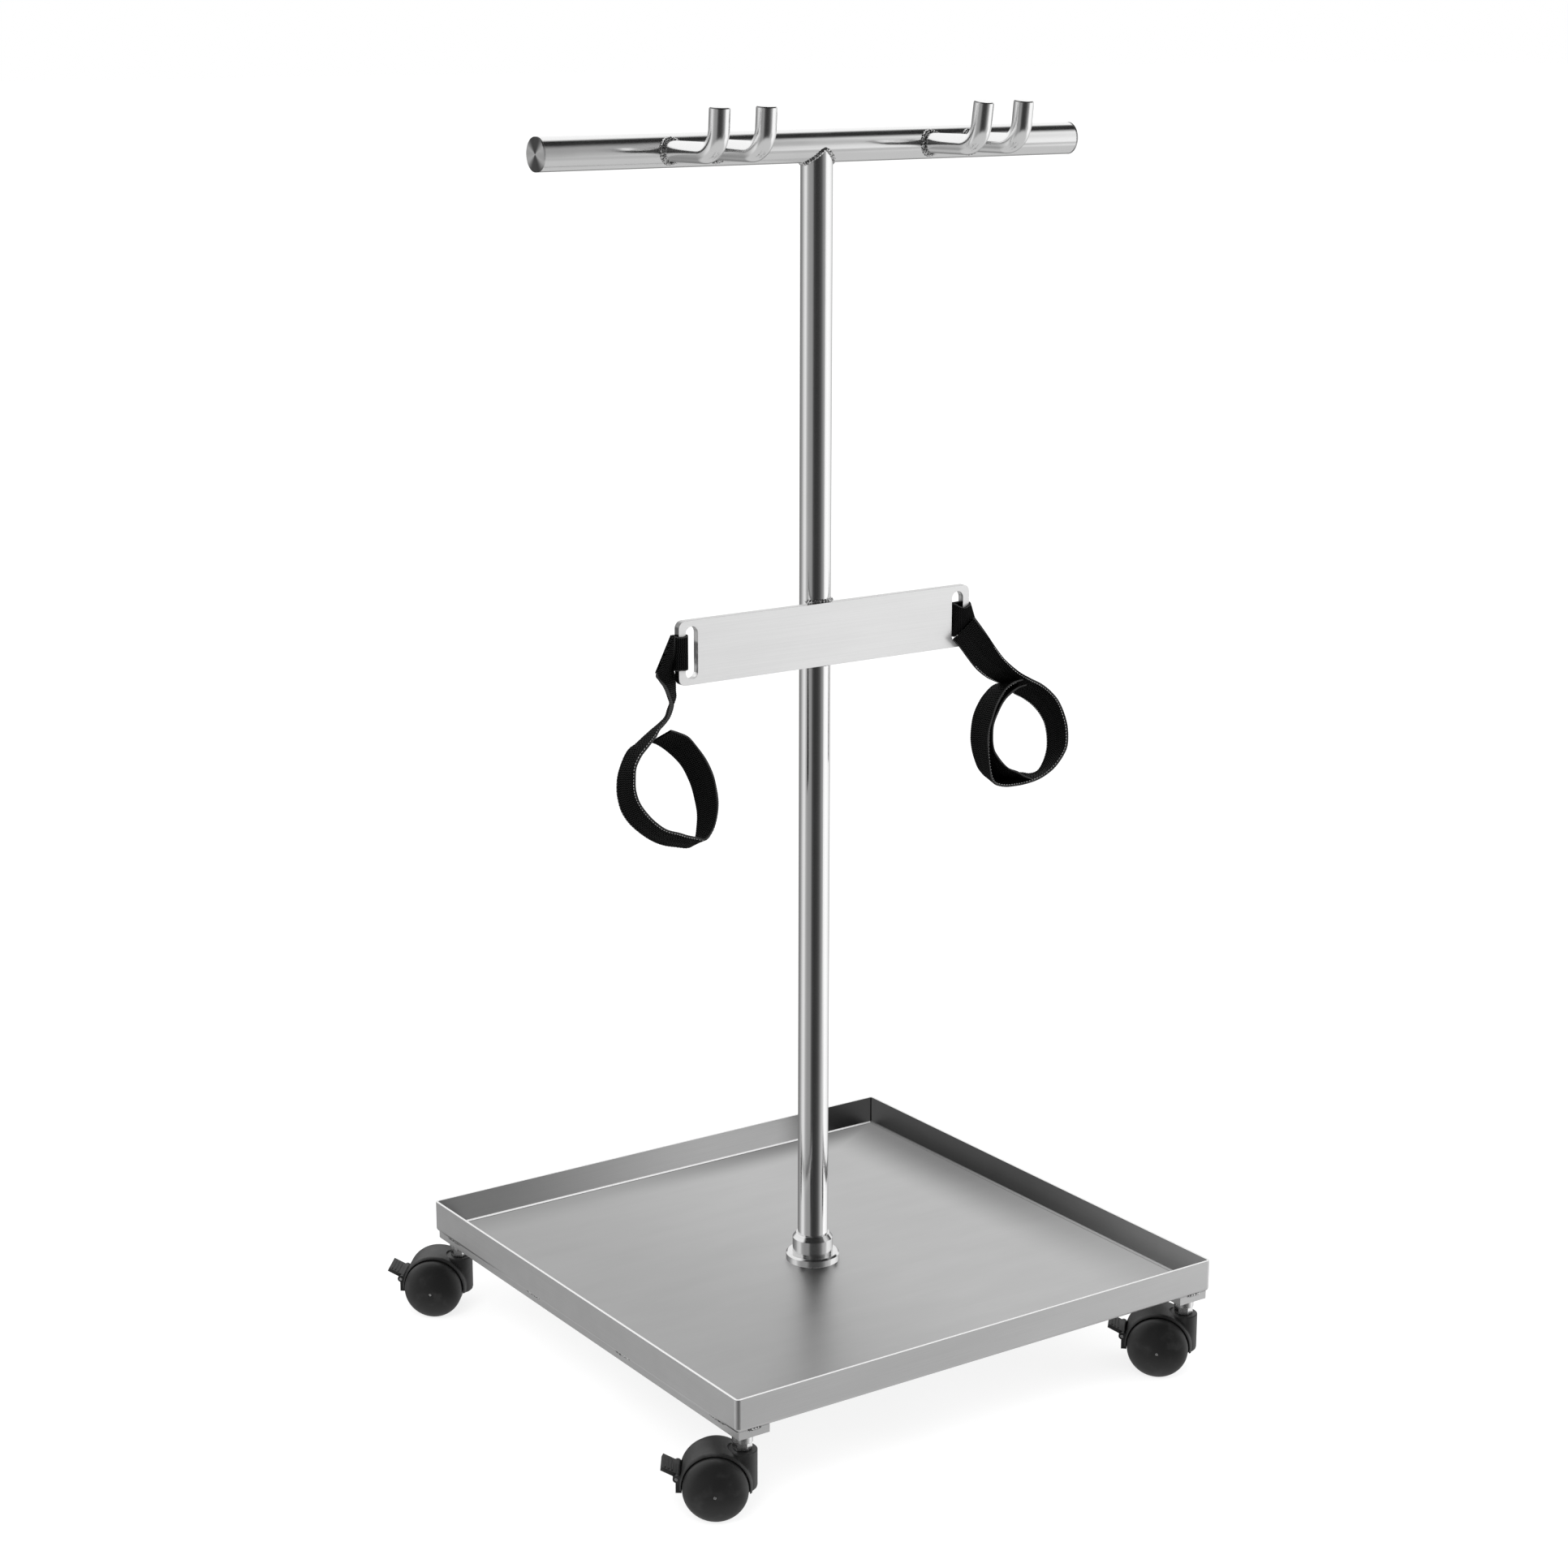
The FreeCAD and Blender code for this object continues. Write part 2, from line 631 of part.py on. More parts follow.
def make_wheel(side):
    """Moulded wheel: flat tread, domed outer face, hollow inner face."""
    bore = AXLE_RADIUS + RUNNING_CLEARANCE
    hole_angle = math.asin(DOME_HOLE_RADIUS / WHEEL_RADIUS)
    bore_end = AXLE_HALF_LENGTH + AXLE_END_GAP

    def at(radius, along):
        return across_axle(radius, side * along, 0)

    ellipse = Part.Ellipse(
        at(WHEEL_RADIUS, WHEEL_TREAD_EDGE),
        at(0, WHEEL_APEX),
        at(0, WHEEL_TREAD_EDGE),
    )
    dome_edge = Part.ArcOfEllipse(ellipse, 0.0, math.pi / 2 - hole_angle).toShape()
    dome_top = dome_edge.valueAt(dome_edge.LastParameter)
    corners = [
        dome_top,
        at(DOME_HOLE_RADIUS, bore_end),
        at(bore, bore_end),
        at(bore, WHEEL_INNER_FACE),
        at(WHEEL_HUB_RADIUS, WHEEL_INNER_FACE),
        at(WHEEL_HUB_RADIUS, WHEEL_POCKET_END),
        at(WHEEL_POCKET_RADIUS, WHEEL_POCKET_END),
        at(WHEEL_POCKET_RADIUS, WHEEL_INNER_FACE),
        at(WHEEL_RADIUS - WHEEL_TREAD_CHAMFER, WHEEL_INNER_FACE),
        at(WHEEL_RADIUS, WHEEL_INNER_FACE + WHEEL_TREAD_CHAMFER),
        at(WHEEL_RADIUS, WHEEL_TREAD_EDGE),
    ]
    edges = [dome_edge]
    for start, end in zip(corners[:-1], corners[1:]):
        edges.append(Part.makeLine(start, end))
    profile = Part.Face(Part.Wire(Part.__sortEdges__(edges)))
    return profile.revolve(across_axle(0, 0, 0), Y_AXIS, 360)


def make_brake_lever():
    """Hub on the pin, ribbed pedal behind it and a cam facing the treads."""
    width = 2.0 * LEVER_HALF_WIDTH
    pivot = lever_pivot(-LEVER_HALF_WIDTH)
    hub = rod(LEVER_HUB_RADIUS, pivot, Y_AXIS, width)

    pedal_top = LEVER_PEDAL_THICKNESS - LEVER_PEDAL_DROP
    pedal = Part.makeBox(LEVER_PEDAL_LENGTH, width, LEVER_PEDAL_THICKNESS)
    pedal.translate(point(0, 0, -LEVER_PEDAL_DROP))
    for place in LEVER_RIB_PLACES:
        rib = block(
            point(
                place - LEVER_RIB_WIDTH / 2,
                LEVER_HALF_WIDTH - LEVER_RIB_HALF_LENGTH,
                pedal_top - LEVER_RIB_HEIGHT,
            ),
            point(
                place + LEVER_RIB_WIDTH / 2,
                LEVER_HALF_WIDTH + LEVER_RIB_HALF_LENGTH,
                pedal_top + LEVER_RIB_HEIGHT,
            ),
        )
        pedal = pedal.fuse(rib)
    pedal.rotate(ORIGIN, Y_AXIS, -LEVER_PEDAL_SLOPE)
    pedal.translate(pivot)

    towards_axle = point(-LEVER_PIVOT_BACK, 0, -LEVER_PIVOT_RISE).normalize()
    turned_back = FreeCAD.Rotation(Y_AXIS, -LEVER_TRAVEL)
    cam_offset = turned_back.multVec(towards_axle) * LEVER_CAM_OFFSET
    cam = rod(LEVER_CAM_RADIUS, pivot + cam_offset, Y_AXIS, width)

    lever = hub.fuse(pedal).fuse(cam)
    pin_room = PIN_RADIUS + RUNNING_CLEARANCE
    bore = bore_along_axle(pin_room, LEVER_PIVOT_BACK, LEVER_PIVOT_RISE)
    return lever.cut(bore).removeSplitter()


def make_brake_pin():
    half_length = LEVER_HALF_WIDTH + LEVER_SIDE_GAP + LUG_THICKNESS + PIN_PROUD
    return rod(PIN_RADIUS, lever_pivot(-half_length), Y_AXIS, 2.0 * half_length)


def make_stem():
    """Threaded stem with a hexagon and a plain grooved shank."""
    shank_length = STEM_HEX_BOTTOM_Z - STEM_SHANK_END_Z
    shank = rod(STEM_SHANK_RADIUS, point(0, 0, STEM_SHANK_END_Z), Z_AXIS, shank_length)
    groove = tube(
        STEM_THREAD_RADIUS,
        RING_GROOVE_RADIUS,
        point(0, 0, RING_BOTTOM_Z),
        Z_AXIS,
        RING_THICKNESS,
    )
    spanner_flats = hexagon(STEM_HEX_AF, STEM_HEX_BOTTOM_Z, STEM_HEX_TOP_Z)
    thread_length = STEM_TOP_Z - STEM_HEX_TOP_Z
    thread = rod(STEM_THREAD_RADIUS, point(0, 0, STEM_HEX_TOP_Z), Z_AXIS, thread_length)
    return shank.cut(groove).fuse(spanner_flats).fuse(thread).removeSplitter()


def make_retaining_ring():
    """Open spring ring in the groove under the housing's sleeve."""
    start = point(0, 0, RING_BOTTOM_Z)
    ring = tube(RING_OUTER_RADIUS, RING_GROOVE_RADIUS, start, Z_AXIS, RING_THICKNESS)
    half_mouth = RING_MOUTH / 2.0
    mouth = block(
        point(0, -half_mouth, RING_BOTTOM_Z),
        point(RING_OUTER_RADIUS, half_mouth, RING_TOP_Z),
    )
    return ring.cut(mouth)


def make_weld_nut():
    height = RAIL_BOTTOM_Z - STEM_HEX_TOP_Z
    start = point(0, 0, STEM_HEX_TOP_Z)
    return tube(WELD_NUT_RADIUS, STEM_THREAD_RADIUS, start, Z_AXIS, height)


def placed(shape, side_x, side_y, turn):
    """Copy of a castor piece, turned and moved under its corner."""
    copy = shape.copy()
    copy.rotate(ORIGIN, Z_AXIS, 180.0 - turn)
    copy.translate(point(side_x * CASTOR_REACH, side_y * CASTOR_REACH, 0))
    return copy


# ---- straps -----------------------------------------------------------------


def strap_section(centre, along, turn):
    """Closed rectangle across the strap, its width turned from X about Z."""
    level = point(math.cos(math.radians(turn)), math.sin(math.radians(turn)), 0)
    width = (level - along * level.dot(along)).normalize()
    depth = along.cross(width).normalize()
    half_width = width * (STRAP_WIDTH / 2.0)
    half_depth = depth * (STRAP_THICKNESS / 2.0)
    corners = [
        centre + half_width + half_depth,
        centre - half_width + half_depth,
        centre - half_width - half_depth,
        centre + half_width - half_depth,
        centre + half_width + half_depth,
    ]
    return Part.makePolygon(corners)


def make_strap(line, web_x, sleeve_z):
    """Sleeve round the plate's end web, joined to the hanging loop."""
    centre_line = Part.BSplineCurve()
    centre_line.interpolate([point(x, y, z) for x, y, z, turn in line])
    knots = centre_line.getKnots()
    turns = [turn for x, y, z, turn in line]
    sections = []
    for index in range(STRAP_SECTIONS):
        share = index / (STRAP_SECTIONS - 1.0)
        value = knots[0] + (knots[-1] - knots[0]) * share
        span = 0
        while span < len(knots) - 2 and value > knots[span + 1]:
            span += 1
        part = (value - knots[span]) / (knots[span + 1] - knots[span])
        turn = turns[span] + (turns[span + 1] - turns[span]) * part
        along = centre_line.tangent(value)[0]
        sections.append(strap_section(centre_line.value(value), along, turn))
    loop = Part.makeLoft(sections, True, False)
    sleeve = tube(
        STRAP_SLEEVE_INNER_RADIUS + STRAP_THICKNESS,
        STRAP_SLEEVE_INNER_RADIUS,
        point(web_x, WEB_CENTRE_Y, sleeve_z - STRAP_WIDTH / 2.0),
        Z_AXIS,
        STRAP_WIDTH,
    )
    return sleeve.fuse(loop)


def outside_crease():
    """Upright prism over everything left of the left strap's crease."""
    top_x, top_z = STRAP_CREASE_TOP
    bottom_x, bottom_z = STRAP_CREASE_BOTTOM
    clear = 2.0 * STRAP_WIDTH
    corners = [
        point(top_x, -clear, top_z),
        point(bottom_x, -clear, bottom_z),
        point(bottom_x - clear, -clear, bottom_z),
        point(bottom_x - clear, -clear, top_z + clear),
        point(top_x, -clear, top_z + clear),
        point(top_x, -clear, top_z),
    ]
    prism = Part.Face(Part.makePolygon(corners))
    return prism.extrude(point(0, 2.0 * clear, 0))


# ---- whole stand ------------------------------------------------------------


def make_castor_nodes():
    shared = {
        "housing": make_castor_housing(),
        "axle": make_axle(),
        "wheel_inner": make_wheel(-1),
        "wheel_outer": make_wheel(1),
        "brake_lever": make_brake_lever(),
        "brake_pin": make_brake_pin(),
    }
    fixed = {
        "castor_stems": make_stem(),
        "stem_retaining_rings": make_retaining_ring(),
        "castor_weld_nuts": make_weld_nut(),
    }
    nodes = {}
    for corner, side_x, side_y, turn in CASTORS:
        for piece, shape in shared.items():
            nodes[f"{corner}_{piece}"] = placed(shape, side_x, side_y, turn)
    for piece, shape in fixed.items():
        copies = []
        for corner, side_x, side_y, turn in CASTORS:
            copies.append(placed(shape, side_x, side_y, turn))
        nodes[piece] = group(copies)
    return nodes


def make_nodes():
    nodes = {
        "tray": make_tray(),
        "rail_left": make_rail(-1),
        "rail_right": make_rail(1),
        "post_collar": make_post_collar(),
        "post_tube": make_post_tube(),
        "post_plug": make_post_plug(),
        "post_bolt": make_post_bolt(),
        "post_washer": make_post_washer(),
        "t_bar": make_t_bar(),
        "t_bar_cap_left": make_t_bar_cap(-1),
        "t_bar_cap_right": make_t_bar_cap(1),
        "strap_plate": make_strap_plate(),
        "strap_left": make_strap(
            STRAP_LEFT_LINE, -WEB_CENTRE_X, STRAP_LEFT_SLEEVE_Z
        ).cut(outside_crease()),
        "strap_right": make_strap(STRAP_RIGHT_LINE, WEB_CENTRE_X, STRAP_RIGHT_SLEEVE_Z),
    }
    for name, place_x, lean in HOOKS:
        nodes[name] = make_hook(place_x, lean)
    nodes.update(make_castor_nodes())
    return nodes


os.makedirs("parts", exist_ok=True)
for node_name, node_shape in make_nodes().items():
    node_shape.exportStep(f"parts/{node_name}.step")
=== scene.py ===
import json
import math

import bmesh
import bpy
from mathutils import Matrix, Vector, noise


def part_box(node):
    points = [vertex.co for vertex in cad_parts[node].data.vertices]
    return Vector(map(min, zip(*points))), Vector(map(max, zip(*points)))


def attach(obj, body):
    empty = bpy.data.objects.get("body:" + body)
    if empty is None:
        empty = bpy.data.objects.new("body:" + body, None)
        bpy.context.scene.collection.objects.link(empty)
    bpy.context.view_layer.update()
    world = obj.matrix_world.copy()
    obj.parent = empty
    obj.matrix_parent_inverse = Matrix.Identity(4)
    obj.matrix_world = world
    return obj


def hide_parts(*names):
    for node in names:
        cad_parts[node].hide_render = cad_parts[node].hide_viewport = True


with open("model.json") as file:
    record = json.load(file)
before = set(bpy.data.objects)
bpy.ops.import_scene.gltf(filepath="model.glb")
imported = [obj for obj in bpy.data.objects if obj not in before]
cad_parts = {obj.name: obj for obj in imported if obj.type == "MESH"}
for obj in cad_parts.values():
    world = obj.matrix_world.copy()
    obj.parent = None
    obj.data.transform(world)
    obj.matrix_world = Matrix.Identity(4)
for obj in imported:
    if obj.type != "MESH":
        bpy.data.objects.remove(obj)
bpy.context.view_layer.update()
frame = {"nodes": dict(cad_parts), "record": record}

MM = 0.001
scene = bpy.context.scene

# ---- the view ---------------------------------------------------------------

CAMERA_PLACE = Vector((-1.38217, -1.94733, 1.09005))
CAMERA_FORWARD = Vector((0.53211, 0.81654, -0.22389))
CAMERA_RIGHT = Vector((0.83715, -0.54695, -0.00510))
CAMERA_LENS = 69.25
CAMERA_SHIFT = (0.0550, -0.0422)


def make_camera():
    data = bpy.data.cameras.new("camera")
    data.lens = CAMERA_LENS
    data.sensor_width = 36.0
    data.shift_x, data.shift_y = CAMERA_SHIFT
    data.clip_start = 0.05
    data.clip_end = 200.0
    camera = bpy.data.objects.new("camera", data)
    scene.collection.objects.link(camera)
    back = -CAMERA_FORWARD.normalized()
    right = (CAMERA_RIGHT - back * CAMERA_RIGHT.dot(back)).normalized()
    up = back.cross(right)
    turn = Matrix((right, up, back)).transposed().to_4x4()
    camera.matrix_world = Matrix.Translation(CAMERA_PLACE) @ turn
    scene.camera = camera


# ---- node helpers -----------------------------------------------------------


class Tree:
    """Short way to write a node tree."""

    def __init__(self, tree):
        self.tree = tree
        tree.nodes.clear()

    def add(self, kind, inputs=None, **properties):
        node = self.tree.nodes.new("ShaderNode" + kind)
        for name, value in properties.items():
            setattr(node, name, value)
        for name, value in (inputs or {}).items():
            socket = node.inputs[name]
            if isinstance(value, bpy.types.NodeSocket):
                self.tree.links.new(value, socket)
            else:
                socket.default_value = value
        return node

    def math(self, operation, *values):
        inputs = {index: value for index, value in enumerate(values)}
        return self.add("Math", inputs, operation=operation).outputs[0]

    def product(self, first, *others):
        for other in others:
            first = self.math("MULTIPLY", first, other)
        return first

    def split(self, vector):
        """The x, y and z of a vector."""
        return self.add("SeparateXYZ", {0: vector}).outputs

    def place(self):
        """The shaded point on the object, in metres."""
        return self.add("TexCoord").outputs["Object"]

    def ramp(self, factor, stops):
        node = self.add("ValToRGB", {0: factor})
        elements = node.color_ramp.elements
        while len(elements) < len(stops):
            elements.new(0.5)
        for element, (place, level) in zip(elements, stops):
            element.position = place
            element.color = (level, level, level, 1.0)
        return node.outputs[0]

    def remap(self, value, low, high, to_low, to_high):
        """Smooth step from one pair of values to another."""
        node = self.add(
            "MapRange",
            {0: value, 1: low, 2: high, 3: to_low, 4: to_high},
            interpolation_type="SMOOTHSTEP",
        )
        return node.outputs[0]

    def mix(self, factor, first, second):
        """Blend of two plain values."""
        gap = self.math("SUBTRACT", second, first)
        return self.math("MULTIPLY_ADD", gap, factor, first)

    def vary(self, pattern, amount, base):
        """Base value moved up and down by a noise pattern."""
        return self.math("MULTIPLY_ADD", self.math("SUBTRACT", pattern, 0.5), amount, base)

    def noise(self, vector, scale, detail=3.0, stretch=(1.0, 1.0, 1.0)):
        mapped = self.add("Mapping", {"Vector": vector, "Scale": stretch})
        node = self.add(
            "TexNoise",
            {"Vector": mapped.outputs[0], "Scale": scale, "Detail": detail},
        )
        return node.outputs[0]

    def rounded(self, radius):
        """Shading normal with every edge rounded off."""
        return self.add("Bevel", {"Radius": radius}, samples=4).outputs[0]

    def bump(self, height, distance, strength, normal=None):
        inputs = {"Height": height, "Distance": distance, "Strength": strength}
        if normal:
            inputs["Normal"] = normal
        return self.add("Bump", inputs).outputs[0]

    def grey(self, level):
        return self.add("CombineColor", {0: level, 1: level, 2: level}).outputs[0]

    def surface(self, tone, inputs):
        """Principled surface in a grey tone, joined to the output."""
        inputs = {"Base Color": self.grey(tone), **inputs}
        shader = self.add("BsdfPrincipled", inputs)
        output = self.add("OutputMaterial")
        self.tree.links.new(shader.outputs[0], output.inputs[0])


def material(name):
    made = bpy.data.materials.new(name)
    made.use_nodes = True
    return made, Tree(made.node_tree)


# ---- metal ------------------------------------------------------------------

TRAY_FLOOR_Z = 72.7 * MM
TRAY_RIM_Z = 97.7 * MM
TRAY_SHEET = 1.5 * MM
# where the flat floor ends, from the middle, and its bends begin
TRAY_FLAT_END = 231.5 * MM
# width of the painted shade where the flat floor meets its bends
CREASE_WIDTH = 1.6 * MM
# marks per metre across the brushing, and along it
BRUSH_FINE, BRUSH_LONG = 2600.0, 9.0


def brushed_steel(name, level, roughness, tray=False):
    """Satin sheet, brushed along X, and along Y on walls that face X."""
    made, t = material(name)
    place = t.place()
    normal = t.split(t.add("NewGeometry").outputs["Normal"])
    side = t.math("GREATER_THAN", t.math("ABSOLUTE", normal[0]), 0.6)
    along_x = t.noise(place, 1.0, 4.0, (BRUSH_LONG, BRUSH_FINE, BRUSH_FINE))
    along_y = t.noise(place, 1.0, 4.0, (BRUSH_FINE, BRUSH_LONG, BRUSH_FINE))
    fine = t.mix(side, along_x, along_y)
    tone = t.vary(fine, 0.12, level)
    tone = t.vary(t.noise(place, 1.0, 3.0, (14.0, 60.0, 60.0)), 0.06, tone)
    tone = t.vary(t.noise(place, 7.0, 2.0), 0.06, tone)
    rough = t.vary(fine, 0.16, roughness)
    if tray:
        tone, metal = tray_finish(t, place, normal, tone)
    else:
        tone, rough, metal = plate_finish(t, place, normal, tone, rough)
    soft = t.rounded(0.5 * MM)
    relief = t.bump(fine, 0.02 * MM, 0.5, soft)
    t.surface(tone, {"Metallic": metal, "Roughness": rough, "Normal": relief})
    return made


def plate_finish(t, place, normal, tone, rough):
    """Cut edges of the plate: smoother than its faces, and darker in patches."""
    cut = t.remap(t.math("ABSOLUTE", normal[1]), 0.5, 0.8, 1.0, 0.0)
    patch = t.remap(t.noise(place, 60.0, 2.0), 0.42, 0.58, 0.22, 0.85)
    edge = t.mix(t.remap(normal[0], -0.7, -0.3, 1.0, 0.0), 0.48, patch)
    return t.mix(cut, tone, edge), t.mix(cut, rough, 0.16), t.mix(cut, 0.72, 1.0)


def tray_finish(t, place, normal, tone):
    """Tone and metal share of the tray.

    Its inner walls are painted darker towards the far right corner, as a painted
    reflection of the dark side of the room.  Its floor has painted shade by the right
    and back walls and where it meets its bends, and painted light towards the right.
    Its rim and the inside of its bends are painted light and made non-metal, as
    painted highlights."""
    x, y, z = t.split(place)
    at_right = t.math("GREATER_THAN", x, 0.0)
    at_back = t.math("GREATER_THAN", y, 0.0)

    # painted reflection: the right and back inner walls are painted darker towards the far
    # right corner
    right_wall = t.product(t.remap(normal[0], -0.8, -0.4, 1.0, 0.0), at_right)
    painted_wall_shade = t.product(tone, t.remap(y, -0.26, 0.02, 0.52, 0.19))
    tone = t.mix(right_wall, t.product(tone, 1.05), painted_wall_shade)
    back_wall = t.product(t.remap(normal[1], -0.8, -0.4, 1.0, 0.0), at_back)
    painted_wall_shade = t.product(tone, t.remap(x, -0.20, 0.06, 0.52, 1.06))
    painted_wall_shade = t.product(painted_wall_shade, t.remap(x, 0.12, 0.185, 1.0, 0.12))
    tone = t.mix(back_wall, tone, painted_wall_shade)

    # painted shade on the floor by the right and back walls and where it meets its bends, and
    # painted light towards the right
    low = t.math("LESS_THAN", z, TRAY_FLOOR_Z + 4.0 * TRAY_SHEET)
    floor = t.product(t.remap(normal[2], 0.92, 0.97, 0.0, 1.0), low)
    near_right = t.remap(x, 0.160, 0.231, 0.0, 1.0)
    near_right = t.product(near_right, t.remap(y, -0.22, 0.14, 0.25, 1.0))
    near_back = t.remap(y, 0.190, 0.231, 0.0, 1.0)
    near_back = t.product(near_back, t.remap(x, -0.10, 0.18, 0.25, 1.0))
    painted_floor_light = t.remap(x, -0.20, 0.10, 0.55, 0.70)
    shade = t.math("MAXIMUM", near_right, near_back)
    shade = t.math("MULTIPLY_ADD", shade, -0.48, painted_floor_light)
    farthest = t.math("MAXIMUM", x, y)
    crease = t.remap(farthest, TRAY_FLAT_END - CREASE_WIDTH, TRAY_FLAT_END, 1.0, 0.55)
    tone = t.mix(floor, tone, t.product(tone, shade, crease))

    # painted highlights: the inside of the bends and the rim are painted light and made
    # non-metal
    rolled = t.product(
        t.remap(normal[2], 0.05, 0.20, 0.0, 1.0),
        t.remap(normal[2], 0.90, 0.95, 1.0, 0.0),
        t.math("GREATER_THAN", z, TRAY_FLOOR_Z),
    )
    back_bend = t.product(rolled, t.math("LESS_THAN", normal[1], -0.2), at_back)
    tone = t.mix(back_bend, tone, 0.74)
    right_bend = t.product(rolled, t.math("LESS_THAN", normal[0], -0.2), at_right)
    tone = t.mix(right_bend, tone, t.remap(y, -0.24, 0.20, 0.34, 0.10))
    rim = t.math("GREATER_THAN", z, TRAY_RIM_Z - TRAY_SHEET)
    rim = t.product(rim, t.remap(normal[2], 0.4, 0.8, 0.0, 1.0))
    tone = t.mix(rim, tone, 0.60)
    return tone, t.math("SUBTRACT", 1.0, t.math("MAXIMUM", rolled, rim))


def polished_steel(name, level, roughness, ground_tips=False):
    """Polished tube with faint draw lines and a few smears."""
    made, t = material(name)
    place = t.place()
    smear = t.noise(place, 26.0, 4.0)
    draw = t.noise(place, 900.0, 3.0)
    tone = t.vary(smear, 0.05, level)
    rough = t.vary(smear, 0.10, roughness + 0.005)
    rough = t.vary(draw, 0.05, rough)
    if ground_tips:
        tone, rough = tip_finish(t, place, tone, rough)
    relief = t.bump(draw, 0.004 * MM, 0.4, t.rounded(0.35 * MM))
    t.surface(tone, {"Metallic": 1.0, "Roughness": rough, "Normal": relief})
    return made


def tip_finish(t, place, tone, rough):
    """Hook tips: a dark chamfer, and a dull patch on the right side where the upright
    was dressed with a flap wheel."""
    share = t.split(t.add("TexCoord").outputs["Generated"])
    rise = t.split(t.add("NewGeometry").outputs["Normal"])[2]
    chamfer = t.product(
        t.remap(rise, 0.30, 0.45, 0.0, 1.0),
        t.remap(rise, 0.88, 0.95, 1.0, 0.0),
        t.math("GREATER_THAN", share[2], 0.95),
    )
    tone = t.mix(chamfer, tone, 0.10)
    wobble = t.product(t.noise(place, 320.0, 3.0), 0.16)
    high = t.remap(t.math("ADD", share[2], wobble), 0.90, 0.99, 0.0, 1.0)
    dressed = t.product(t.remap(share[0], 0.70, 0.84, 0.0, 1.0), high)
    return t.mix(dressed, tone, 0.98), t.mix(dressed, rough, 0.42)


def turned_steel(name, axis, centre, roughness, stretch, painted_wedge):
    """Machined face with fine rings round an axis, X or Z, through the centre.

    The last argument is how much the tone is painted darker above and below the centre,
    a painted shade for the dark part of the rings' reflection."""
    made, t = material(name)
    moved = t.add("VectorMath", {0: t.place(), 1: centre}, operation="SUBTRACT")
    flat = (0.0, 1.0, 1.0) if axis == "X" else (1.0, 1.0, 0.0)
    level = t.add("VectorMath", {0: moved.outputs[0], 1: flat}, operation="MULTIPLY")
    radius = t.add("VectorMath", {0: level.outputs[0]}, operation="LENGTH")
    radius = radius.outputs["Value"]
    rings = t.add(
        "TexNoise",
        {"W": radius, "Scale": 2400.0, "Detail": 3.0},
        noise_dimensions="1D",
    ).outputs[0]
    steep = t.math("ABSOLUTE", t.split(level.outputs[0])[2])
    steep = t.math("DIVIDE", steep, radius)
    # painted shade: the tone is darker above and below the centre
    painted_dark_wedge = t.remap(steep, 0.35, 0.95, 0.0, painted_wedge)
    tone = t.product(t.vary(rings, 0.22, 0.72), t.math("SUBTRACT", 1.0, painted_dark_wedge))
    t.surface(
        tone,
        {
            "Metallic": 1.0,
            "Roughness": t.vary(rings, 0.12, roughness),
            "Anisotropic": stretch,
            "Anisotropic Rotation": 0.25,
            "Tangent": t.add("Tangent", direction_type="RADIAL", axis=axis).outputs[0],
            "Normal": t.bump(rings, 0.02 * MM, 0.6, t.rounded(0.4 * MM)),
        },
    )
    return made


def zinc_steel(name):
    """Bright plated fastener with a slight mottle."""
    made, t = material(name)
    mottle = t.noise(t.place(), 420.0, 4.0)
    rough = t.vary(mottle, 0.18, 0.26)
    relief = t.bump(mottle, 0.03 * MM, 0.3, t.rounded(0.4 * MM))
    tone = t.vary(mottle, 0.12, 0.78)
    t.surface(tone, {"Metallic": 1.0, "Roughness": rough, "Normal": relief})
    return made


def weld_steel(name):
    """Weld metal: bright ripples with darker oxide between them."""
    made, t = material(name)
    stain = t.noise(t.place(), 700.0, 5.0)
    rough = t.remap(stain, 0.35, 0.65, 0.42, 0.20)
    relief = t.bump(stain, 0.15 * MM, 0.5)
    tone = t.remap(stain, 0.38, 0.60, 0.10, 0.80)
    t.surface(tone, {"Metallic": 1.0, "Roughness": rough, "Normal": relief})
    return made


# ---- plastic, webbing and thread --------------------------------------------


def black_nylon(name, level, roughness, grain):
    """Moulded plastic with a fine eroded grain and a little scuffing."""
    made, t = material(name)
    place = t.place()
    spark = t.noise(place, 2600.0, 2.0)
    scuff = t.noise(place, 90.0, 5.0)
    t.surface(
        t.remap(scuff, 0.50, 0.75, level, level * 2.2),
        {
            "Roughness": t.vary(scuff, 0.18, roughness),
            "Specular IOR Level": 0.45,
            "Normal": t.bump(spark, grain * MM, 0.6, t.rounded(0.7 * MM)),
        },
    )
    return made


STRAP_WIDTH = 27.0 * MM
STRAP_THICKNESS = 1.6 * MM
RIB_PITCH = 1.75 * MM
RIB_HEIGHT = 0.11 * MM
YARN_PITCH = 1.25 * MM


def rib_phase(across):
    """Neighbouring columns of the weave are offset, so the ribs look braided."""
    column = math.floor(across / YARN_PITCH + 0.5)
    return 0.55 * math.sin(column * 2.1)


def rib_rise(length, across):
    """Height of the weave's cross ribs at a place on the strap."""
    return RIB_HEIGHT * math.sin(2.0 * math.pi * length / RIB_PITCH + rib_phase(across))


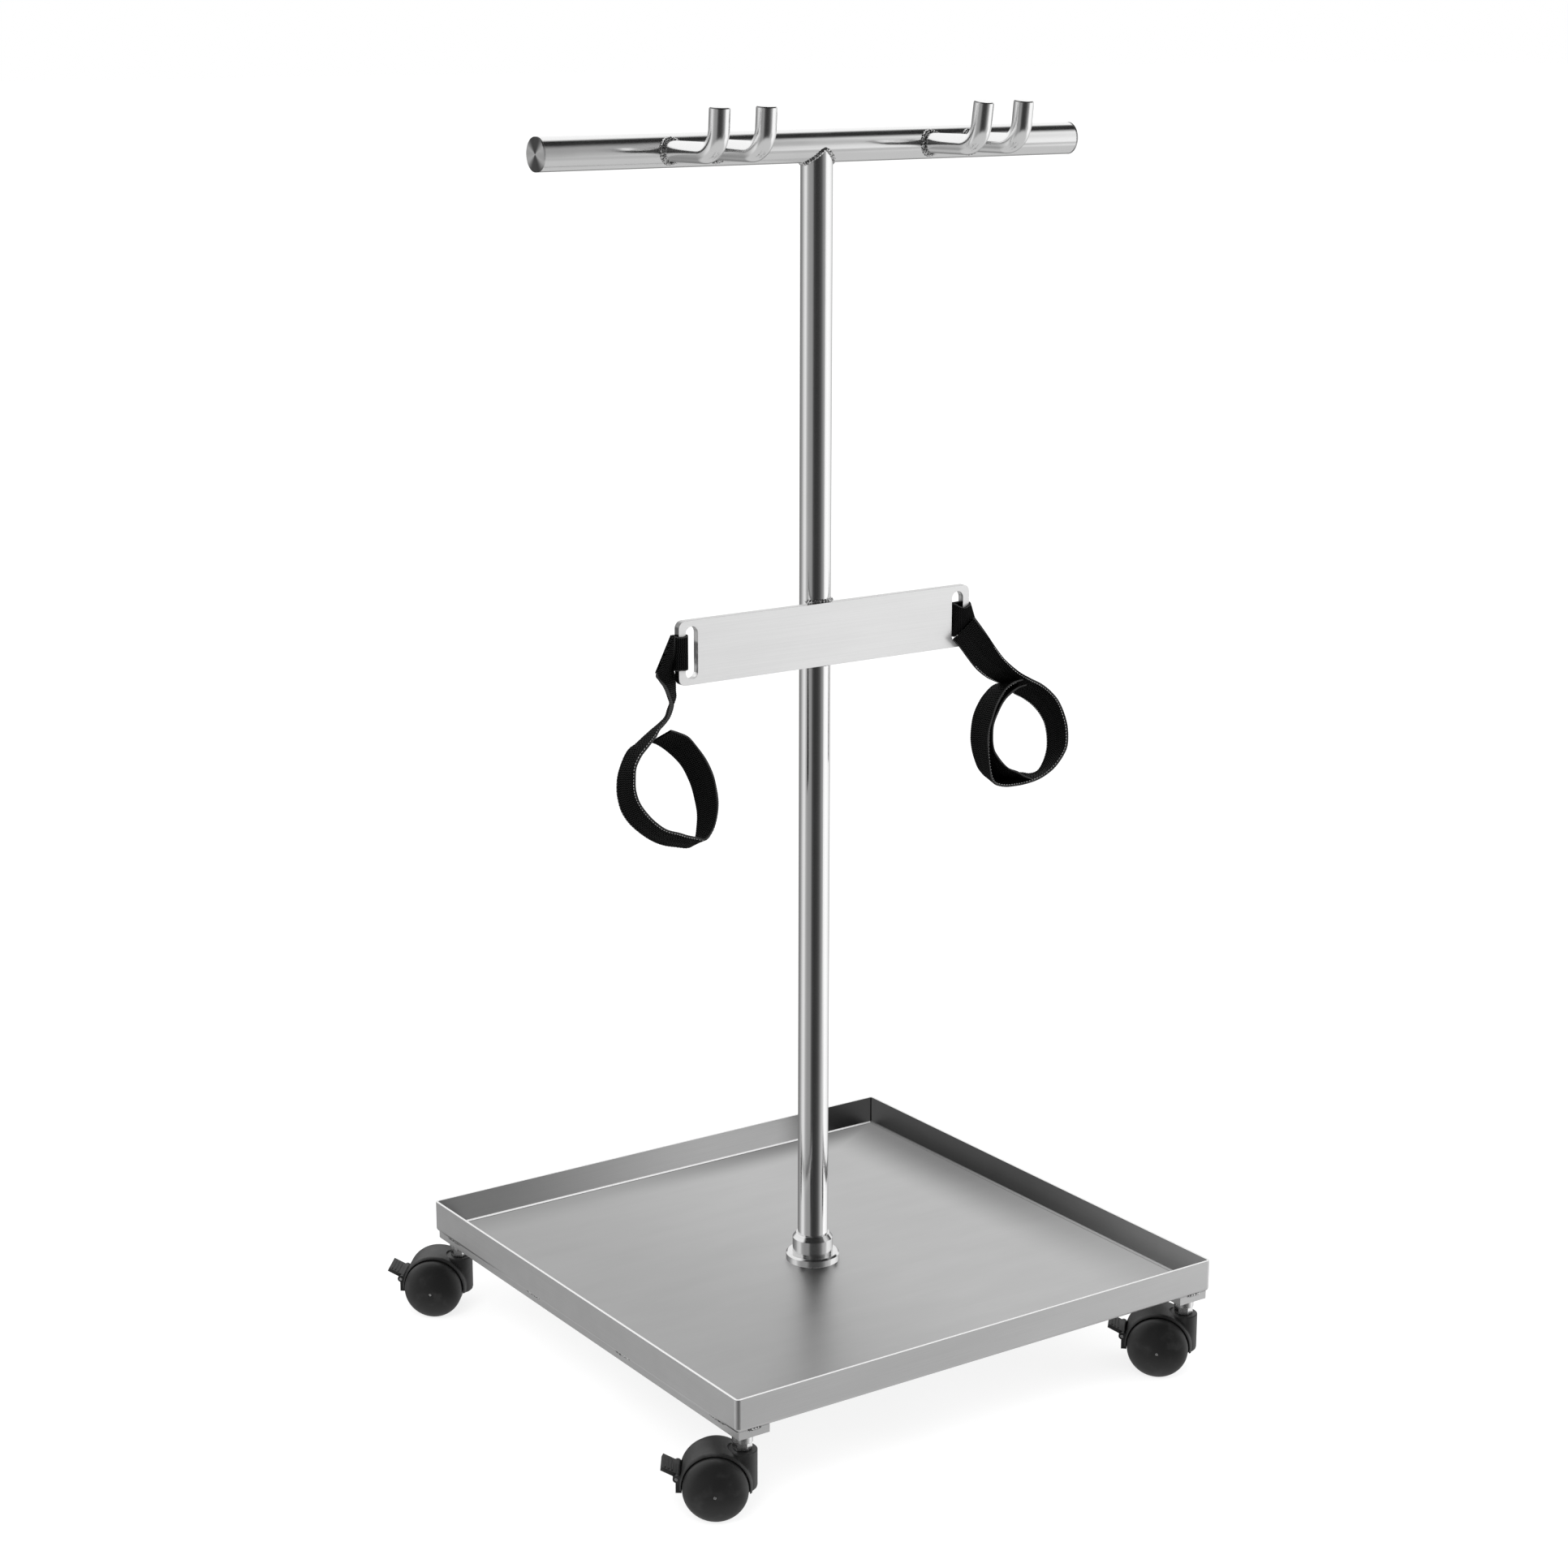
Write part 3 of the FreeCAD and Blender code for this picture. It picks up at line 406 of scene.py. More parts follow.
def webbing(name):
    """Ribbed weave laid out on the strap's own length and width."""
    made, t = material(name)
    length, across, _ = t.split(t.add("UVMap", uv_map="weave").outputs[0])
    column = t.math("FLOOR", t.math("DIVIDE", across, YARN_PITCH))
    shift = t.product(t.math("MODULO", column, 2.0), math.pi * 0.7)
    turn = t.product(length, 2.0 * math.pi / RIB_PITCH)
    rib = t.math("SINE", t.math("ADD", turn, shift))
    yarn = t.math("SINE", t.product(across, 2.0 * math.pi / YARN_PITCH))
    weave = t.math("MULTIPLY_ADD", yarn, 0.35, rib)
    height = t.remap(weave, -1.2, 1.2, 0.0, 1.0)
    fluff = t.noise(t.place(), 1900.0, 4.0)
    # painted shade and light: the weave is painted darker in its hollows and lighter on its
    # tops
    tone = t.remap(height, 0.50, 1.0, 0.0002, 0.010)
    tone = t.product(tone, t.remap(fluff, 0.3, 0.7, 0.5, 1.5))
    edge = t.math("ABSOLUTE", across)
    selvage = t.remap(edge, STRAP_WIDTH * 0.46, STRAP_WIDTH * 0.485, 0.0, 1.0)
    tone = t.math("MULTIPLY_ADD", selvage, 0.030, tone)
    relief = t.math("MULTIPLY_ADD", fluff, 0.35, height)
    t.surface(
        tone,
        {
            "Roughness": t.remap(height, 0.0, 1.0, 0.85, 0.55),
            "Specular IOR Level": t.remap(height, 0.50, 1.0, 0.0, 0.09),
            "Normal": t.bump(relief, 0.35 * MM, 0.8),
        },
    )
    return made


def sewing_thread(name):
    """Grey thread with a tight twist."""
    made, t = material(name)
    twist = t.noise(t.place(), 2400.0, 2.0)
    relief = t.bump(twist, 0.1 * MM, 0.6)
    tone = t.remap(twist, 0.3, 0.7, 0.14, 0.45)
    t.surface(tone, {"Roughness": 0.6, "Normal": relief})
    return made


# ---- studio -----------------------------------------------------------------

# Level of the studio round the horizon, starting behind the object and going by the
# left.  The camera's side is at 0.5.
HORIZON = (
    (0.00, 0.20),
    (0.10, 0.16),
    (0.178, 0.29),
    (0.231, 0.60),
    (0.278, 0.70),
    (0.318, 0.36),
    (0.356, 0.27),
    (0.425, 0.24),
    (0.459, 0.05),
    (0.500, 0.028),
    (0.560, 0.035),
    (0.600, 0.07),
    (0.635, 0.18),
    (0.660, 0.28),
    (0.681, 0.32),
    (0.693, 0.80),
    (0.744, 0.92),
    (0.800, 0.88),
    (0.860, 0.72),
    (0.930, 0.36),
    (1.00, 0.20),
)
RIGHT_BOX = 0.69
FLAG_LEVEL = 0.015
BACKDROP_LEVEL = 0.85


def level_direction(vector):
    return Vector((vector.x, vector.y, 0.0)).normalized()


def make_world():
    """White studio.  Only shiny surfaces see its dark flags and soft boxes."""
    world = bpy.data.worlds.new("studio")
    world.use_nodes = True
    scene.world = world
    t = Tree(world.node_tree)
    ray = t.add("TexCoord").outputs["Generated"]
    ray_x, ray_y, rise = t.split(ray)
    right, back = [
        t.add("VectorMath", {0: ray, 1: direction}, operation="DOT_PRODUCT")
        for direction in (level_direction(CAMERA_RIGHT), level_direction(-CAMERA_FORWARD))
    ]
    turn = t.math("ARCTAN2", right.outputs["Value"], back.outputs["Value"])
    share = t.math("MULTIPLY_ADD", turn, 0.5 / math.pi, 0.5)
    # the soft boxes lean a little to the right as they go up
    leaning = t.math("MULTIPLY_ADD", t.math("MAXIMUM", rise, 0.0), -0.05, share)
    around = t.ramp(leaning, HORIZON)

    # a black flag overhead, along X but set askew, and a white backdrop behind it
    pitch = t.math("ARCTAN2", rise, t.product(ray_y, -1.0))
    askew = t.remap(ray_x, 0.52, 0.58, 0.0, math.radians(12.0))
    pitch = t.math("SUBTRACT", pitch, askew)
    flag = t.remap(pitch, math.radians(30.0), math.radians(58.0), 0.0, 1.0)
    beyond = t.remap(pitch, math.radians(86.0), math.radians(106.0), 0.0, 1.0)
    overhead = t.mix(beyond, t.mix(flag, around, FLAG_LEVEL), BACKDROP_LEVEL)
    shown = t.mix(t.remap(rise, 0.02, 0.14, 0.0, 1.0), around, overhead)

    # dimmer under the right soft box, and an even grey straight below
    off_box = t.math("ABSOLUTE", t.math("SUBTRACT", share, RIGHT_BOX))
    under = t.product(
        t.remap(off_box, 0.025, 0.05, 1.0, 0.0),
        t.remap(rise, -0.40, -0.26, 1.0, 0.0),
    )
    shown = t.mix(under, shown, 0.42)
    shown = t.mix(t.remap(rise, -0.66, -0.50, 1.0, 0.0), shown, 0.50)

    path = t.add("LightPath")
    plain = t.mix(path.outputs["Is Camera Ray"], 1.08, 1.0)
    level = t.mix(path.outputs["Is Glossy Ray"], plain, t.product(shown, 1.25))
    background = t.add("Background", {"Color": t.grey(level), "Strength": 1.0})
    output = t.add("OutputWorld")
    t.tree.links.new(background.outputs[0], output.inputs[0])


def area_light(name, place, size, power):
    """Square light that shines at the middle of the stand and is never mirrored."""
    data = bpy.data.lights.new(name, "AREA")
    data.shape = "SQUARE"
    data.size = size
    data.energy = power
    light = bpy.data.objects.new(name, data)
    scene.collection.objects.link(light)
    aim = Vector((0.0, 0.0, 0.4))
    light.location = place
    light.rotation_mode = "QUATERNION"
    light.rotation_quaternion = (aim - Vector(place)).to_track_quat("-Z", "Y")
    light.visible_glossy = False
    light.visible_camera = False


def make_floor():
    """Pale floor, lit a little from itself so that the shadow stays faint."""
    half = 60.0
    mesh = bpy.data.meshes.new("studio_floor")
    corners = [(-half, -half, 0), (half, -half, 0), (half, half, 0), (-half, half, 0)]
    mesh.from_pydata(corners, [], [(0, 1, 2, 3)])
    floor = bpy.data.objects.new("studio_floor", mesh)
    scene.collection.objects.link(floor)
    floor.visible_glossy = False
    made, t = material("studio_floor")
    tone = t.remap(t.noise(t.place(), 3.0, 3.0), 0.3, 0.7, 0.26, 0.27)
    t.surface(
        tone,
        {
            "Roughness": 1.0,
            "Specular IOR Level": 0.0,
            "Emission Color": t.grey(tone),
            "Emission Strength": 3.0,
        },
    )
    mesh.materials.append(made)


def make_studio():
    make_world()
    area_light("key", (-2.2, -1.6, 3.0), 1.8, 60.0)
    area_light("fill", (2.6, -1.4, 2.2), 2.2, 30.0)
    make_floor()
    scene.view_settings.view_transform = "Standard"
    scene.view_settings.look = "None"


# ---- mesh helpers -----------------------------------------------------------


def ring_faces(rings, sides, joined=False):
    """Quads between neighbouring rings of points, and from last to first if joined."""
    faces = []
    for ring in range(rings if joined else rings - 1):
        here, there = ring * sides, (ring + 1) % rings * sides
        for index in range(sides):
            after = (index + 1) % sides
            faces.append((here + index, here + after, there + after, there + index))
    return faces


def end_faces(rings, sides):
    return [tuple(range(sides)), tuple(range((rings - 1) * sides, rings * sides))]


def mesh_object(name, shell, finish, body, slot):
    """Visible piece from a shell of (points, faces), riding on a body."""
    points, faces = shell
    mesh = bpy.data.meshes.new(name)
    mesh.from_pydata([tuple(p) for p in points], [], faces)
    work = bmesh.new()
    work.from_mesh(mesh)
    bmesh.ops.recalc_face_normals(work, faces=work.faces)
    work.to_mesh(mesh)
    work.free()
    for polygon in mesh.polygons:
        polygon.use_smooth = True
    made = bpy.data.objects.new(name, mesh)
    scene.collection.objects.link(made)
    mesh.materials.append(finish)
    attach(made, body)
    return made


def merged(shells):
    """One shell from many."""
    points, faces = [], []
    for shell_points, shell_faces in shells:
        base = len(points)
        points.extend(shell_points)
        faces.extend([tuple(base + index for index in face) for face in shell_faces])
    return points, faces


def woven_object(name, shell, weave, finish, body):
    """Piece of webbing with the weave's own map: metres along and across."""
    made = mesh_object(name, shell, finish, body, "webbing")
    layer = made.data.uv_layers.new(name="weave")
    for loop in made.data.loops:
        layer.data[loop.index].uv = weave[loop.vertex_index]
    return made


def middle(row):
    """Point halfway between the two edges of a strip."""
    return (Vector(row[:3]) + Vector(row[3:])) / 2.0


def between(before, start, end, after, s):
    """Catmull-Rom value a share s of the way from start to end."""
    return 0.5 * (
        2.0 * start
        + (end - before) * s
        + (2.0 * before - 5.0 * start + 4.0 * end - after) * s * s
        + (3.0 * start - before - 3.0 * end + after) * s * s * s
    )


def smooth_line(stations, step):
    """Even samples of the smooth strip through rows of two edge points."""
    parts = 24
    rows = [stations[0], *stations, stations[-1]]
    fine = []
    for index in range(1, len(rows) - 2):
        ends = rows[index - 1 : index + 3]
        for part in range(parts):
            fine.append([between(*values, part / parts) for values in zip(*ends)])
    fine.append(list(stations[-1]))
    lengths = [0.0]
    for one, two in zip(fine[:-1], fine[1:]):
        lengths.append(lengths[-1] + (middle(two) - middle(one)).length)
    count = max(2, int(round(lengths[-1] / step)))
    samples = []
    cursor = 0
    for index in range(count + 1):
        target = lengths[-1] * index / count
        while cursor < len(lengths) - 2 and lengths[cursor + 1] < target:
            cursor += 1
        share = (target - lengths[cursor]) / (lengths[cursor + 1] - lengths[cursor])
        low, high = fine[cursor], fine[cursor + 1]
        samples.append([a + (b - a) * share for a, b in zip(low, high)])
    return samples


def strap_outline():
    """Cross-section of the webbing with a thicker selvage: (share from edge to edge,
    share of the thickness)."""
    count = 22
    top = []
    for index in range(count + 1):
        share = index / count
        edge = abs(2.0 * share - 1.0)
        fall = max(0.0, edge - 0.94) / 0.06
        thick = 1.10 if 0.88 < edge < 0.97 else 1.0
        top.append((share, thick * math.sqrt(1.0 - fall * fall * 0.85)))
    return top + [(share, -thick) for share, thick in reversed(top)]


class Ribbon:
    """Strip of webbing through stations of two edge points: x, y, z of the edge
    nearer -Y and x, y, z of the other edge, in mm."""

    # a quarter of a rib
    STEP = 0.25 * RIB_PITCH

    def __init__(self, stations):
        samples = smooth_line(stations, self.STEP / MM)
        last = len(samples) - 1
        self.rows = []
        for index, sample in enumerate(samples):
            ahead = middle(samples[min(index + 1, last)])
            behind = middle(samples[max(index - 1, 0)])
            along = (ahead - behind).normalized()
            width = Vector(sample[3:]) - Vector(sample[:3])
            across = width.normalized()
            normal = along.cross(across).normalized()
            half = width.length * MM / 2.0
            self.rows.append((middle(sample) * MM, across, normal, half))

    def lower_face(self, row, across_share):
        """Point on the face below the normal, at a share of the half width."""
        place, across, normal, half = self.rows[row]
        return place + across * (across_share * half) - normal * (STRAP_THICKNESS / 2.0)

    def build(self, name, finish, body, gathered=None):
        """Closed mesh.

        gathered is (place, reach, factor): where along the strap it is gathered, as a
        share of its length, how far that reaches, and how much thicker it is there."""
        outline = strap_outline()
        points, weave = [], []
        last = len(self.rows) - 1
        for row, (place, across, normal, half) in enumerate(self.rows):
            ripple = noise.noise(place * 90.0) * 0.25 * MM
            swell = 1.0
            if gathered:
                centre, reach, factor = gathered
                away = (row / last - centre) / reach
                swell += (factor - 1.0) * math.exp(-away * away)
            length = row * self.STEP
            for share, thick in outline:
                from_middle = (2.0 * share - 1.0) * half
                # the weave keeps its size where the strip is seen narrower
                on_weave = STRAP_WIDTH / 2.0 - half + from_middle
                rise = thick * swell * STRAP_THICKNESS / 2.0 + ripple
                rise += math.copysign(1.0, thick) * rib_rise(length, on_weave)
                points.append(place + across * from_middle + normal * rise)
                weave.append((length, on_weave))
        ring = len(outline)
        faces = ring_faces(len(self.rows), ring)
        for base in (0, last * ring):
            for index in range(ring // 2 - 1):
                far = base + ring - 1 - index
                faces.append((base + index, base + index + 1, far - 1, far))
        return woven_object(name, (points, faces), weave, finish, body)


def stitch(start, end, up, radius):
    """Short thread loop lying on a surface, thicker in its middle."""
    along = end - start
    side = along.cross(up).normalized()
    points = []
    rings, sides = 5, 6
    for ring in range(rings):
        share = ring / (rings - 1)
        swell = math.sin(math.pi * (0.12 + 0.76 * share))
        centre = start + along * share + up * (radius * 0.9 * (swell - 0.4))
        reach = radius * (0.35 + 0.65 * swell)
        for index in range(sides):
            angle = 2.0 * math.pi * index / sides
            points.append(centre + (side * math.cos(angle) + up * math.sin(angle)) * reach)
    return points, ring_faces(rings, sides) + end_faces(rings, sides)


STITCH_PITCH = 2.7 * MM
STITCH_LENGTH = 1.8 * MM
# where the rows of stitches run, as a share of the strap's half width
STITCH_LINES = (0.90, -0.90)


def edge_stitches(ribbon, first, last):
    """Stitches by both edges of a ribbon, between two shares of its length."""
    start = int(first * (len(ribbon.rows) - 1))
    stop = int(last * (len(ribbon.rows) - 1))
    stride = int(round(STITCH_PITCH / ribbon.STEP))
    reach = int(round(STITCH_LENGTH / ribbon.STEP))
    shells = []
    for line in STITCH_LINES:
        for row in range(start, stop - reach, stride):
            one = ribbon.lower_face(row, line)
            two = ribbon.lower_face(row + reach, line)
            shells.append(stitch(one, two, -ribbon.rows[row][2], 0.30 * MM))
    return shells


def weld_bead(path, radius, pitch, closed=True):
    """Rippled bead along a path of points, a loop if it is closed."""
    sides = 12
    last = len(path) - 1
    points = []
    travelled = 0.0
    for index, centre in enumerate(path):
        before = path[index - 1] if closed else path[max(index - 1, 0)]
        after = path[(index + 1) % len(path)] if closed else path[min(index + 1, last)]
        along = (after - before).normalized()
        helper = Vector((0, 0, 1)) if abs(along.z) < 0.9 else Vector((0, 1, 0))
        side = along.cross(helper).normalized()
        up = side.cross(along)
        travelled += (centre - path[max(index - 1, 0)]).length
        full = radius * (1.0 + 0.16 * noise.noise(centre * 260.0))
        if not closed:
            # rounded ends
            full *= math.sqrt(1.0 - (2.0 * index / last - 1.0) ** 6) * 0.9 + 0.1
        for step in range(sides):
            angle = 2.0 * math.pi * step / sides
            wave = abs(math.cos(math.pi * (travelled / pitch + 0.35 * math.cos(angle))))
            reach = full * (0.66 + 0.46 * wave)
            points.append(centre + (side * math.cos(angle) + up * math.sin(angle)) * reach)
    faces = ring_faces(len(path), sides, joined=closed)
    if not closed:
        faces += end_faces(len(path), sides)
    return points, faces


def loop_path(count, place):
    """Points of a closed path from a function of the angle."""
    return [place(2.0 * math.pi * index / count) for index in range(count)]


def straight_path(centre, along, length, count):
    """Points of a straight path through its centre."""
    return [centre + along * (length * (index / (count - 1) - 0.5)) for index in range(count)]


# ---- the steelwork ----------------------------------------------------------

bar_low, bar_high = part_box("t_bar")
BAR_RADIUS = (bar_high.z - bar_low.z) / 2.0
BAR_Z = (bar_low.z + bar_high.z) / 2.0
post_low, post_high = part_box("post_tube")
POST_RADIUS = (post_high.x - post_low.x) / 2.0

# radius and ripple pitch of each weld
HOOK_BEAD = (1.9 * MM, 2.3 * MM)
POST_BEAD = (1.5 * MM, 2.4 * MM)
PLATE_BEAD = (1.8 * MM, 2.6 * MM)
RAIL_BEAD = (1.5 * MM, 2.6 * MM)
RAIL_END_BEAD = (1.4 * MM, 2.6 * MM)
NUT_BEAD = (1.0 * MM, 2.4 * MM)
NUT_RADIUS = 8.0 * MM
RAIL_WELD_PLACES = (-205.0 * MM, -70.0 * MM, 70.0 * MM, 205.0 * MM)
RAIL_WELD_LENGTH = 22.0 * MM
RAIL_END_WELD_LENGTH = 14.0 * MM


def paint_nodes():
    """Gives every CAD node its finish."""
    bar_axis = Vector((0.0, 0.0, BAR_Z))
    post_axis = Vector((0.0, 0.0, 0.0))
    by_slot = {
        "satin_steel": brushed_steel("tray_steel", 0.62, 0.36, tray=True),
        "polished_steel": polished_steel("post_steel", 0.86, 0.12),
        "turned_steel": turned_steel("collar_steel", "Z", post_axis, 0.18, 0.80, 0.0),
        "zinc_steel": zinc_steel("zinc"),
        "black_nylon": black_nylon("nylon_shell", 0.010, 0.42, 0.05),
        "webbing": webbing("webbing_plain"),
    }
    # the first word found in a node's name wins over its slot
    by_word = {
        "strap_plate": brushed_steel("plate_steel", 0.83, 0.38),
        "t_bar_cap": turned_steel("cap_steel", "X", bar_axis, 0.42, 0.95, 0.90),
        "t_bar": polished_steel("bar_steel", 0.84, 0.16),
        "hook_": polished_steel("hook_steel", 0.84, 0.17, ground_tips=True),
        "_wheel_": black_nylon("nylon_wheel", 0.008, 0.46, 0.04),
        "_brake_lever": black_nylon("nylon_lever", 0.011, 0.48, 0.06),
    }
    slots = {part["node"]: part["material_slot"] for part in frame["record"]["subparts"]}
    for name, node in frame["nodes"].items():
        special = [finish for word, finish in by_word.items() if word in name]
        node.data.materials.clear()
        node.data.materials.append((special + [by_slot[slots[name]]])[0])
    # the studio's flags, not the tray, are mirrored in the polished steel
    frame["nodes"]["tray"].visible_glossy = False


def hook_welds():
    """A rippled fillet round the root of each hook."""
    shells = []
    for name in frame["nodes"]:
        if not name.startswith("hook_"):
            continue
        low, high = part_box(name)
        centre_x = (low.x + high.x) / 2.0
        reach = (high.x - low.x) / 2.0 + 0.9 * MM

        def root(angle, centre_x=centre_x, reach=reach):
            rise = reach * math.sin(angle)
            out = math.sqrt(BAR_RADIUS**2 - rise**2) + 0.2 * MM
            return Vector((centre_x + reach * math.cos(angle), -out, BAR_Z + rise))

        shells.append(weld_bead(loop_path(120, root), *HOOK_BEAD))
    return shells


def post_top_weld():
    """Saddle-shaped fillet under the T-bar."""
    reach = POST_RADIUS + 0.5 * MM

    def saddle(angle):
        x, y = reach * math.cos(angle), reach * math.sin(angle)
        drop = math.sqrt((BAR_RADIUS + 0.4 * MM) ** 2 - y * y)
        return Vector((x, y, BAR_Z - drop))

    return [weld_bead(loop_path(170, saddle), *POST_BEAD)]


def plate_welds():
    """Arcs over and under the plate, round the front of the post."""
    reach = POST_RADIUS + 0.2 * MM
    half_turn = 74.0
    count = 48
    shells = []
    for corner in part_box("strap_plate"):
        path = []
        for index in range(count):
            share = 2.0 * index / (count - 1) - 1.0
            angle = math.radians(-90.0 + half_turn * share)
            place = (reach * math.cos(angle), reach * math.sin(angle), corner.z)
            path.append(Vector(place))
        shells.append(weld_bead(path, *PLATE_BEAD, closed=False))
    return shells


def rail_welds():
    """Short stitches of weld along the rails' edges and ends, under the tray."""
    shells = []
    for name in ("rail_left", "rail_right"):
        low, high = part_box(name)
        for x in (low.x, high.x):
            for y in RAIL_WELD_PLACES:
                centre = Vector((x, y, high.z))
                path = straight_path(centre, Vector((0, 1, 0)), RAIL_WELD_LENGTH, 22)
                shells.append(weld_bead(path, *RAIL_BEAD, closed=False))
        for y in (low.y, high.y):
            centre = Vector(((low.x + high.x) / 2.0, y, high.z))
            path = straight_path(centre, Vector((1, 0, 0)), RAIL_END_WELD_LENGTH, 16)
            shells.append(weld_bead(path, *RAIL_END_BEAD, closed=False))
    return shells


def nut_welds():
    """A fillet round each weld nut, against its rail's underside."""
    under_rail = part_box("rail_left")[0].z
    low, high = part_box("castor_weld_nuts")
    reach = NUT_RADIUS + 0.3 * MM
    shells = []
    for x in (low.x + NUT_RADIUS, high.x - NUT_RADIUS):
        for y in (low.y + NUT_RADIUS, high.y - NUT_RADIUS):
            centre = Vector((x, y, under_rail))

            def foot(angle, centre=centre):
                out = Vector((math.cos(angle), math.sin(angle), 0.0))
                return centre + out * reach

            shells.append(weld_bead(loop_path(64, foot), *NUT_BEAD))
    return shells


def make_welds():
    finish = weld_steel("weld_metal")
    for name, shells, slot in (
        ("hook_welds", hook_welds(), "polished_steel"),
        ("post_top_weld", post_top_weld(), "polished_steel"),
        ("plate_welds", plate_welds(), "satin_steel"),
        ("rail_welds", rail_welds(), "satin_steel"),
        ("nut_welds", nut_welds(), "zinc_steel"),
    ):
        mesh_object(name, merged(shells), finish, "stand", slot)


# ---- the straps -------------------------------------------------------------

# Stations down each strap, where its two edges are in the photograph: x, y, z of the edge
# nearer -Y and x, y, z of the other edge, in mm.
LEFT_LINE = (
    (-149.5, -21.5, 630.0, -148.5, -21.5, 630.0),
    (-154.5, -22.5, 622.0, -148.0, -20.5, 620.5),
    (-161.5, -25.0, 614.0, -147.0, -18.0, 611.5),
    (-168.5, -26.5, 602.5, -144.5, -13.5, 603.5),
    (-164.5, -24.0, 597.0, -141.0, -10.0, 595.5),
    (-161.0, -25.5, 592.5, -140.0, -8.5, 588.5),
    (-158.0, -26.0, 587.5, -139.5, -7.0, 582.5),
    (-156.0, -26.0, 582.5, -139.0, -6.0, 577.5),
    (-155.0, -27.0, 578.0, -140.5, -5.0, 572.5),
    (-156.0, -27.5, 573.0, -143.0, -4.5, 567.0),
    (-158.5, -27.5, 567.5, -146.0, -4.5, 561.5),
    (-163.0, -28.0, 562.5, -152.5, -4.0, 556.5),
    (-167.0, -28.5, 559.0, -159.0, -3.5, 552.5),
    (-170.5, -29.0, 554.0, -166.0, -3.0, 548.0),
    (-174.5, -29.0, 550.0, -173.5, -3.0, 543.0),
    (-179.0, -29.0, 545.5, -179.5, -3.0, 540.0),
    (-184.5, -29.0, 540.0, -184.0, -3.0, 534.5),
    (-188.5, -29.0, 532.5, -188.0, -3.0, 526.0),
    (-189.5, -29.0, 523.5, -190.5, -3.0, 516.5),
    (-189.0, -28.5, 514.0, -191.0, -3.5, 505.0),
    (-185.5, -28.0, 504.0, -188.0, -4.0, 492.5),
    (-179.0, -28.0, 494.5, -181.0, -4.0, 481.5),
    (-170.5, -27.5, 485.5, -171.5, -4.5, 472.0),
    (-160.5, -27.5, 478.0, -160.5, -4.5, 464.0),
    (-149.0, -27.5, 473.5, -149.5, -4.5, 458.5),
    (-140.5, -27.5, 470.0, -138.5, -4.5, 455.5),
    (-131.5, -27.5, 467.0, -127.5, -4.5, 453.0),
    (-124.5, -28.5, 465.0, -121.0, -3.5, 454.5),
    (-118.5, -28.5, 470.5, -118.5, -3.5, 460.0),
    (-115.0, -28.5, 477.5, -117.0, -3.5, 468.0),
    (-113.0, -28.5, 487.0, -116.5, -3.5, 477.5),
    (-113.0, -28.5, 497.5, -118.0, -3.5, 487.5),
    (-115.0, -28.0, 509.0, -121.0, -4.0, 498.0),
    (-118.5, -28.0, 519.5, -125.0, -4.0, 508.5),
    (-124.0, -28.0, 530.0, -130.5, -4.0, 519.0),
    (-131.0, -27.5, 539.5, -138.0, -4.5, 527.5),
    (-139.0, -27.0, 549.0, -147.0, -5.0, 535.5),
    (-148.0, -27.5, 554.0, -154.5, -4.5, 541.0),
    (-155.5, -27.5, 557.0, -160.0, -4.5, 543.5),
)
RIGHT_LINE = (
    (145.0, -23.0, 612.5, 122.5, -23.0, 595.5),
    (154.0, -23.0, 602.0, 129.0, -23.0, 589.5),
    (161.5, -22.5, 593.0, 139.5, -21.5, 578.0),
    (168.5, -22.5, 584.0, 150.5, -19.5, 567.0),
    (176.5, -23.0, 574.5, 163.5, -16.5, 558.0),
    (183.5, -24.5, 567.5, 175.5, -12.5, 552.5),
    (191.0, -26.5, 561.0, 185.0, -8.5, 548.5),
    (199.5, -27.0, 556.0, 194.5, -5.5, 543.5),
    (205.0, -27.0, 553.0, 203.0, -5.0, 537.0),
    (215.5, -27.0, 547.5, 212.5, -5.0, 532.0),
    (225.0, -27.0, 540.5, 222.0, -5.0, 525.5),
    (233.0, -27.5, 532.0, 230.5, -4.5, 517.5),
    (239.0, -27.5, 521.5, 236.5, -4.5, 508.5),
    (243.0, -28.0, 509.5, 240.0, -4.0, 498.5),
    (244.0, -28.5, 499.0, 241.5, -3.5, 488.5),
    (243.0, -28.5, 489.5, 240.5, -3.5, 480.0),
    (238.0, -28.5, 481.5, 237.0, -3.5, 471.5),
    (230.0, -28.5, 474.0, 231.5, -3.5, 465.0),
    (219.5, -29.0, 468.5, 223.0, -3.0, 463.5),
    (208.5, -29.5, 465.5, 213.0, -2.5, 466.0),
    (197.0, -29.0, 464.0, 203.0, -3.0, 465.0),
    (187.0, -29.0, 464.0, 193.5, -3.0, 464.5),
    (176.0, -29.0, 465.0, 184.0, -3.0, 465.5),
    (166.5, -28.5, 468.0, 175.5, -3.0, 469.0),
    (162.0, -29.0, 473.5, 170.0, -3.0, 474.0),
    (160.0, -29.0, 481.0, 166.0, -3.0, 479.5),
    (158.0, -29.0, 493.5, 161.5, -3.0, 490.5),
    (157.5, -29.5, 506.5, 159.5, -2.5, 502.5),
    (158.0, -29.5, 516.0, 160.0, -2.5, 514.5),
    (161.0, -29.5, 525.5, 162.0, -2.5, 524.0),
    (164.5, -29.5, 534.5, 166.5, -2.5, 532.5),
    (170.0, -29.5, 543.0, 172.5, -2.5, 539.5),
    (176.0, -29.0, 549.5, 179.5, -3.0, 545.0),
    (184.5, -29.0, 553.5, 187.5, -3.0, 547.0),
    (193.5, -28.5, 554.5, 196.5, -3.5, 545.0),
)
